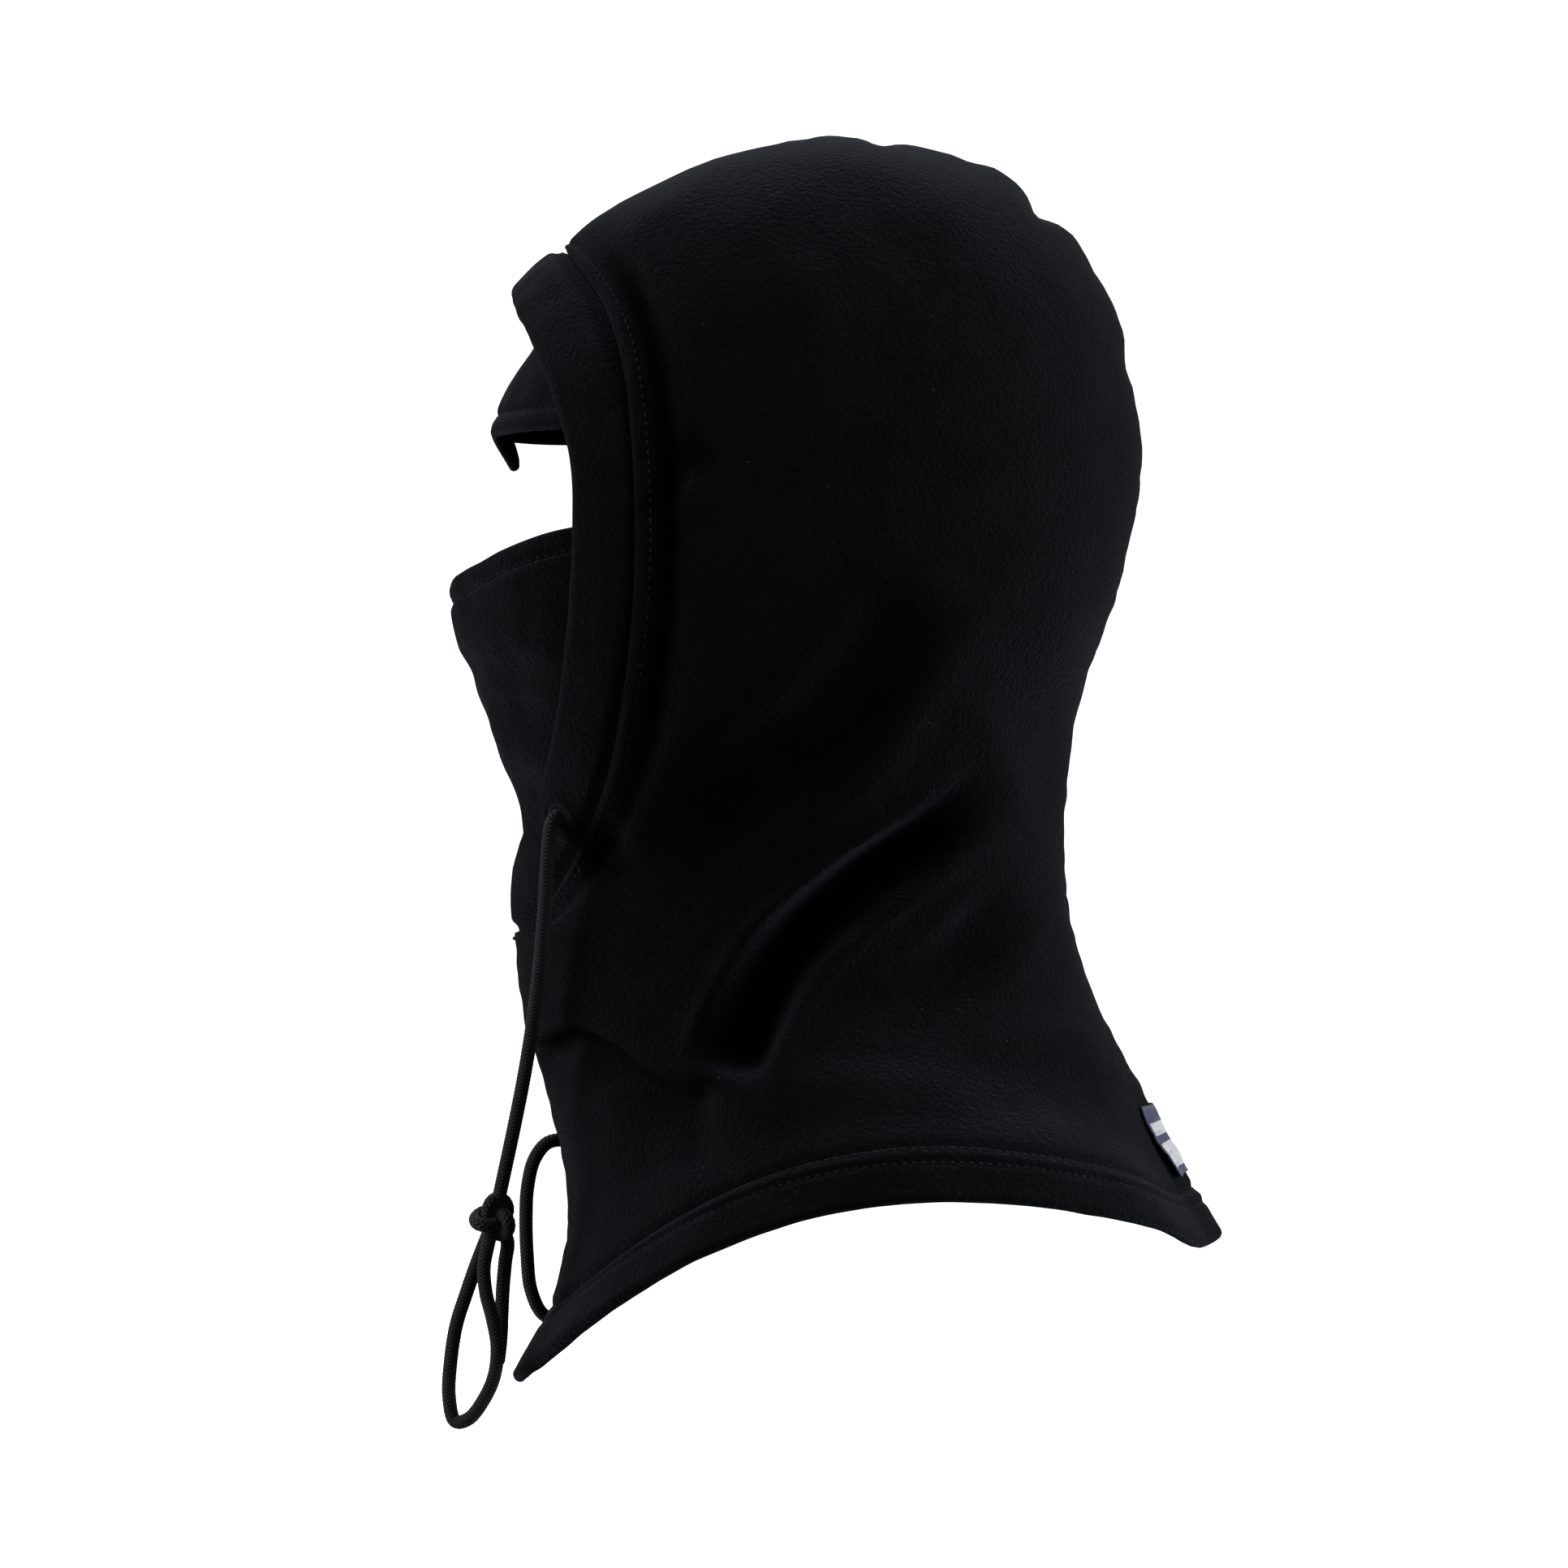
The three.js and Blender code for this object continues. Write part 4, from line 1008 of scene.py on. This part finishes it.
def veil_hem(sides, fronts, hem_share, seed, dip=None):
    """The turned hem along a veil's edge, from its seam to its fold and back inside. The fold's roundness
    takes the last half of its thickness."""
    fold_share = hem_share * MASK_HEM_THICKNESS / 2 / MASK_HEM_HEIGHT
    smooth = veil(sides, fronts, np.linspace(hem_share, fold_share, VEIL_HEM_ROWS))
    if dip is not None:
        smooth = dip(smooth, np.linspace(0, 1, VEIL_HEM_ROWS)[:, None])
    places, normals = soft_veil(smooth, seed, 1.7)
    from_seam = np.linalg.norm(smooth - smooth[:1], axis=-1)
    height = 0.5 * bell(from_seam - 4.5, 2.2) - bell(from_seam, 1.6)
    return folded_edge(places + normals * height[..., None], normals, MASK_HEM_THICKNESS)


places = veil_hem(mask_sides, mask_fronts, MASK_HEM_SHARE, 2.0)
mask_hem = cloth_piece(places, "mask_top_edge", mask_fleece, wall=VEIL_HEM_LEAF,
                       inward=(0, -60, -30))
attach(mask_hem, "mask_edge")
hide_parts("mask_top_hem")


# ---- Brow ----------------------------------------------------------------------------------------
# A second veil crosses the forehead above the eyes. Its hem dips in the middle to a small soft point over
# the bridge of the nose.
brow_sides = smooth_curve([
    inside_casing(74, -62, 18), inside_casing(71.7, -64, 34), inside_casing(59.8, -70, 52),
    inside_casing(45.8, -76, 62),
])
brow_fronts = smooth_curve([(0, -115.5, 18), (0, -109.5, 33), (0, -99, 50), (0, -93, 62)])
BROW_HEM_SHARE = MASK_HEM_HEIGHT / 56       # the hem's height over the brow's


def nose_dip(smooth, share):
    """The middle of the brow's edge drawn down and in."""
    middle = bell(smooth[..., 0], 7.5) * smooth_step(share, 0, 1)
    return smooth + middle[..., None] * np.array((0, 7.5, -12))


smooth = veil(brow_sides, brow_fronts, np.linspace(BROW_HEM_SHARE, 1, 60))
places, normals = soft_veil(smooth, 5.0, 1.5)
from_hem = np.linalg.norm(smooth - smooth[:1], axis=-1)
places = places - normals * bell(from_hem, 1.6)[..., None]
brow = cloth_piece(places, "brow_veil", mask_fleece, wall=MASK_FLEECE, inward=(0, -60, 40))
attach(brow, "hood")
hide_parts("brow_panel")

places = veil_hem(brow_sides, brow_fronts, BROW_HEM_SHARE, 5.0, dip=nose_dip)
brow_hem = cloth_piece(places, "brow_edge", mask_fleece, wall=VEIL_HEM_LEAF,
                       inward=(0, -60, 20))
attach(brow_hem, "hood")
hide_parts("brow_hem")


# ---- Buttonholes ---------------------------------------------------------------------------------
# Each hole that the cord comes out of is bound with close radial stitches of black thread.
STITCH_RADIUS = 0.38
RIM_STITCHES = 34
BARS_AT_ONCE = 60


def thread_finish():
    """Black polyester thread with its twist, the colour painted lighter on the twist's ridges and darker
    between them as highlight and shade.
    """
    sewing = Finish("sewing_thread", Base_Color=(0.004, 0.004, 0.005, 1), Roughness=0.6,
                    Sheen_Weight=0.05, Sheen_Roughness=0.4, Specular_IOR_Level=0.08)
    twist = sewing.node("ShaderNodeTexWave", {"bands_direction": "DIAGONAL"}, output=1, Scale=900.0,
                        Distortion=1.0, Vector=sewing.object_place())
    sewing.raise_surface(0.5, 0.0003, twist)
    # Painted highlight and shade along the twist: the colour follows the same waves as the bump.
    sewing.feed("Base Color", sewing.mix(twist, (0.0015, 0.0015, 0.002, 1), (0.006, 0.006, 0.0075, 1)))
    return sewing.material


thread = thread_finish()


def stitch(shape, start, end, radius):
    """One stitch: a small rounded bar of thread between two points."""
    run = Vector(end) - Vector(start)
    turn = run.to_track_quat("Z", "Y").to_matrix().to_4x4()
    place = Matrix.Translation((Vector(start) + Vector(end)) / 2) @ turn @ Matrix.Diagonal(
        (radius, radius, run.length / 2 + radius * 0.4, 1))
    bmesh.ops.create_uvsphere(shape, u_segments=6, v_segments=4, radius=1, matrix=place)


def thread_piece(name, bars, body, mirror=False):
    """Many stitches as one piece of thread, gathered a few dozen at a time."""
    whole = bmesh.new()
    for first in range(0, len(bars), BARS_AT_ONCE):
        few = bmesh.new()
        for start, end, radius in bars[first:first + BARS_AT_ONCE]:
            stitch(few, start, end, radius)
        gathered = bpy.data.meshes.new("stitches")
        few.to_mesh(gathered)
        few.free()
        whole.from_mesh(gathered)
        bpy.data.meshes.remove(gathered)
    if mirror:
        bmesh.ops.scale(whole, vec=(-1, 1, 1), verts=whole.verts)
        bmesh.ops.reverse_faces(whole, faces=whole.faces)
    piece = finished(whole, name, thread)
    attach(piece, body)
    return piece


def buttonhole(side):
    """The bound rim: a ring of stitches that lean over the cut edge, with an outer lock on each."""
    bars = []
    outwards = Vector(hole_outwards)
    along = Vector(hole_across)
    across = outwards.cross(along)
    centre = Vector(hole_centre) + outwards * 0.35
    rim = centre + outwards * 0.3
    for number in range(RIM_STITCHES):
        turn = 2 * math.pi * number / RIM_STITCHES
        next_turn = turn + math.pi / RIM_STITCHES
        away = along * math.cos(turn) + across * math.sin(turn)
        start = centre + away * (HOLE_RADIUS - 0.35) - outwards * 0.7
        crest = centre + away * (HOLE_RADIUS + 0.5) + outwards * 0.45
        end = centre + away * (HOLE_RADIUS + 1.75) - outwards * 0.35
        beside = along * math.cos(next_turn) + across * math.sin(next_turn)
        lock = rim + away * (HOLE_RADIUS + 0.15), rim + beside * (HOLE_RADIUS + 0.15)
        bars += [(*ends, STITCH_RADIUS) for ends in ((start, crest), (crest, end), lock)]
    bound = thread_piece(f"buttonhole_rim_{side}", bars, "hood", side == "right")
    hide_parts(f"buttonhole_{side}")


for side in ("left", "right"):
    buttonhole(side)


# ---- Stitch rows ---------------------------------------------------------------------------------
# Lockstitched rows hold the casing, the bib hem and the hems of the mask and brow. Each stitch is a short
# bar of black thread sunk into the groove that it pulls.
STITCH_PITCH = 3.3
HEM_SEWN_AT = (0.9, 6.3)            # the two rows below the bib hem's seam
SUNK = 0.08                         # how far a stitch lies below the cloth's face
NEAR_EDGE = 40                      # steps of a grid within which its edge rows lie
FLANGE_ROWS = 3                     # rows of a folded edge that are tucked out of sight
CASING_ROW = 6                      # the casing's column of points along which it is sewn down


def row_from_edge(places, distance, edge):
    """The line on a grid of points that lies this far from one of its edges."""
    grid = places if edge == "last column" else np.swapaxes(places, 0, 1)
    grid = grid[:, ::-1] if edge == "last column" else grid
    line = []
    for strip in grid:
        near = strip[:NEAR_EDGE]
        line.append(at_marks(distance, run_along(near), near))
    return np.array(line)


def sewn_row(line, normals):
    """Stitches along a line, each sunk into the cloth with a small gap before the next."""
    run = run_along(line)
    count = int(run[-1] / STITCH_PITCH)
    marks = np.linspace(0.4, run[-1] - 0.4, count * 2)
    points = at_marks(marks, run, line)
    inwards = at_marks(marks, run, normals) * SUNK
    bars = []
    for number in range(0, len(points) - 1, 2):
        start, end = points[number], points[number] * 0.1 + points[number + 1] * 0.9
        bars.append((start - inwards[number], end - inwards[number], STITCH_RADIUS))
    return bars


chin_step = int(PANEL_ROWS * (CHIN_KEY - FIRST_KEY) / (HEM_KEY - FIRST_KEY))
beside_face = slice(6, chin_step - 4)
for side in ("left", "right"):
    mirror = side == "right"
    panel_grid, panel_normals = hood_grids[side]
    hood_row = row_from_edge(panel_grid, FACE_ROW, "last column")[beside_face]
    casing_grid, casing_normals = casing_grids[side]
    casing_row = casing_grid[4:-4, CASING_ROW]
    bars = sewn_row(hood_row, panel_normals[beside_face, -4])
    bars += sewn_row(casing_row, casing_normals[4:-4, CASING_ROW])
    thread_piece(f"face_stitches_{side}", bars, "hood", mirror)
    hem_grid = hem_grids[side][FLANGE_ROWS:]
    hem_normals = outward_normals(hem_grid[:20])[6, 4:-4]
    bars = []
    for distance in HEM_SEWN_AT:
        bars += sewn_row(row_from_edge(hem_grid, distance, "first row")[4:-4], hem_normals)
    thread_piece(f"hem_stitches_{side}", bars, "hood", mirror)

for name, sides, fronts, hem_share, seed, dip, body in (
    ("mask", mask_sides, mask_fronts, MASK_HEM_SHARE, 2.0, None, "mask_edge"),
    ("brow", brow_sides, brow_fronts, BROW_HEM_SHARE, 5.0, nose_dip, "hood"),
):
    grid = veil_hem(sides, fronts, hem_share, seed, dip=dip)[FLANGE_ROWS:]
    normals = forward_normals(grid[:14])
    line = row_from_edge(grid, 1.0, "first row")
    thread_piece(f"{name}_hem_stitches", sewn_row(line[8:-8], normals[3, 8:-8]), body)


# ---- Woven label ---------------------------------------------------------------------------------
# A small folded damask label is sewn flat on the back seam above the hem. Its plain bands of blue and
# white carry no mark; its left edge has come a little loose and curls.
LABEL_HALF_WIDTH = 17
LABEL_THICKNESS = 0.63
LABEL_KEYS = (18.45, 20.35)         # the keys of the hood that it lies between
LABEL_LIFT = 1.5


def label_finish():
    """Two plain white bands on a navy ground, woven, a little worn."""
    woven = Finish("woven_label", Roughness=0.7, Sheen_Weight=0.25, Sheen_Roughness=0.35,
                   Specular_IOR_Level=0.35)
    across, up = woven.cloth_place()
    picks = (up * (2 * math.pi * 62)).sine() * (across * (2 * math.pi * 88)).sine()
    white_bands = (up > 0.5) * (up < 0.86) + (up > 0.22) * (up < 0.38)
    border = ((across - 0.5).size() > 0.45) + ((up - 0.5).size() > 0.43)
    banded = woven.mix(white_bands, (0.012, 0.018, 0.075, 1), (0.62, 0.62, 0.64, 1))
    edged = woven.mix(border, banded, (0.01, 0.014, 0.055, 1))
    worn = woven.node("ShaderNodeTexNoise", Scale=420.0, Detail=3.0, Vector=woven.object_place())
    woven.feed("Base Color", woven.mix(worn * 0.5 + picks * 0.18, edged, (0.03, 0.03, 0.045, 1)))
    woven.raise_surface(0.7, 0.0003, picks)
    return woven.material


def label_places(rows, columns):
    """The label's face, laid over the back seam, crumpled a little and loose at its left edge."""
    keys = np.linspace(*LABEL_KEYS, rows + 1)
    across = np.linspace(-LABEL_HALF_WIDTH, LABEL_HALF_WIDTH, columns + 1)
    grid, _ = hood_grids["left"]
    grid_keys = np.linspace(FIRST_KEY, HEM_KEY, PANEL_ROWS + 1)
    places = np.zeros((rows + 1, columns + 1, 3))
    for number, key in enumerate(keys):
        strip = grid[np.searchsorted(grid_keys, key)][:60]
        places[number, :, 0] = across
        for axis in (1, 2):
            places[number, :, axis] = np.interp(np.maximum(np.abs(across), 3), strip[:, 0], strip[:, axis])
    down = np.linspace(0, 1, rows + 1)[:, None]
    loose = smooth_step(across, 9, 17)[None, :] * smooth_step(down, 0.1, 0.9)
    crumple = 0.5 * cloth_noise(places, 6.5, 4.0)
    places[..., 1] += LABEL_LIFT + crumple + 2.4 * loose
    places[..., 0] += 0.5 * loose
    return places


shape = bent_grid(label_places(34, 48))
for face in shape.faces:
    if face.normal.y < 0:
        face.normal_flip()
label = finished(shape, "label", label_finish())
backing = label.modifiers.new("thickness", "SOLIDIFY")
backing.thickness = LABEL_THICKNESS * MM
backing.offset = -1
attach(label, "hood")
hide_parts("woven_label")


# ---- Inner seams and cord ------------------------------------------------------------------------
# The allowances of the crown, back and chin seams stand inside the hood: two raw edges of fleece pressed
# together and bound with an overlock of black thread. The drawcord that runs unseen through the casing
# keeps its frame shape.
ALLOWANCE_WIDTH = 2.4
ALLOWANCE_TOP, ALLOWANCE_FOOT = 2.9, 7.4    # how deep it starts and ends below the outside of the cloth
OVERLOCK_PITCH, OVERLOCK_START, OVERLOCK_RADIUS = 2.6, 4.6, 0.3


def seam_allowance(name, node, line, start, end, towards):
    """A soft rounded strip along the inside of a seam in the middle plane, and its binding."""
    spine = line(np.linspace(start, end, 260))
    tangent = np.gradient(spine, axis=0)
    tangent /= np.linalg.norm(tangent, axis=-1)[:, None]
    inwards = np.stack([0 * tangent[:, 0], -tangent[:, 2], tangent[:, 1]], axis=-1) * towards
    length = run_along(spine)
    wave = np.array([noise.noise(Vector((run / 14, 3.1, towards))) for run in length])
    rows = []
    for turn in np.linspace(0, 2 * math.pi, 17):
        aside = ALLOWANCE_WIDTH / 2 * np.sign(math.cos(turn)) * abs(math.cos(turn)) ** 0.5
        deep = (ALLOWANCE_TOP + ALLOWANCE_FOOT) / 2 + (ALLOWANCE_FOOT - ALLOWANCE_TOP) / 2 * math.sin(turn)
        lean = 0.5 * wave * max(0.0, math.sin(turn))
        rows.append(spine + inwards * deep + np.stack([aside + lean, 0 * lean, 0 * lean], axis=-1))
    shape = bent_grid(np.stack(rows, axis=1))
    bmesh.ops.remove_doubles(shape, verts=shape.verts, dist=0.01)
    bmesh.ops.edgeloop_fill(shape, edges=[edge for edge in shape.edges if edge.is_boundary])
    bmesh.ops.recalc_face_normals(shape, faces=shape.faces)
    strip = finished(shape, name, hood_fleece)
    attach(strip, "hood")
    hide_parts(node)
    bars = []
    marks = np.arange(2, length[-1] - 2, OVERLOCK_PITCH)
    half = ALLOWANCE_WIDTH / 2 + 0.15
    for first, second in zip(marks, marks[1:]):
        inward = at_marks(first, length, inwards)
        low, high = at_marks(first, length, spine), at_marks(second, length, spine)
        edge = low + inward * (ALLOWANCE_FOOT + 0.1)
        for side in (-half, half):
            aside = np.array((side, 0, 0))
            over = edge + aside * 0.5
            bars.append((low + aside + inward * OVERLOCK_START, over, OVERLOCK_RADIUS))
            bars.append((over, high + aside + inward * OVERLOCK_START, OVERLOCK_RADIUS))
    thread_piece(f"{name}_overlock", bars, "hood")


seam_allowance("back_allowance", "centre_back_seam", centre_line, (FIRST_KEY + 0.1) / HEM_KEY, 0.999, -1)
seam_allowance("chin_allowance", "front_neck_seam", front_line, 0.02, 0.998, 1)

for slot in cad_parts["drawcord_in_casing"].material_slots:
    slot.material = braid_material
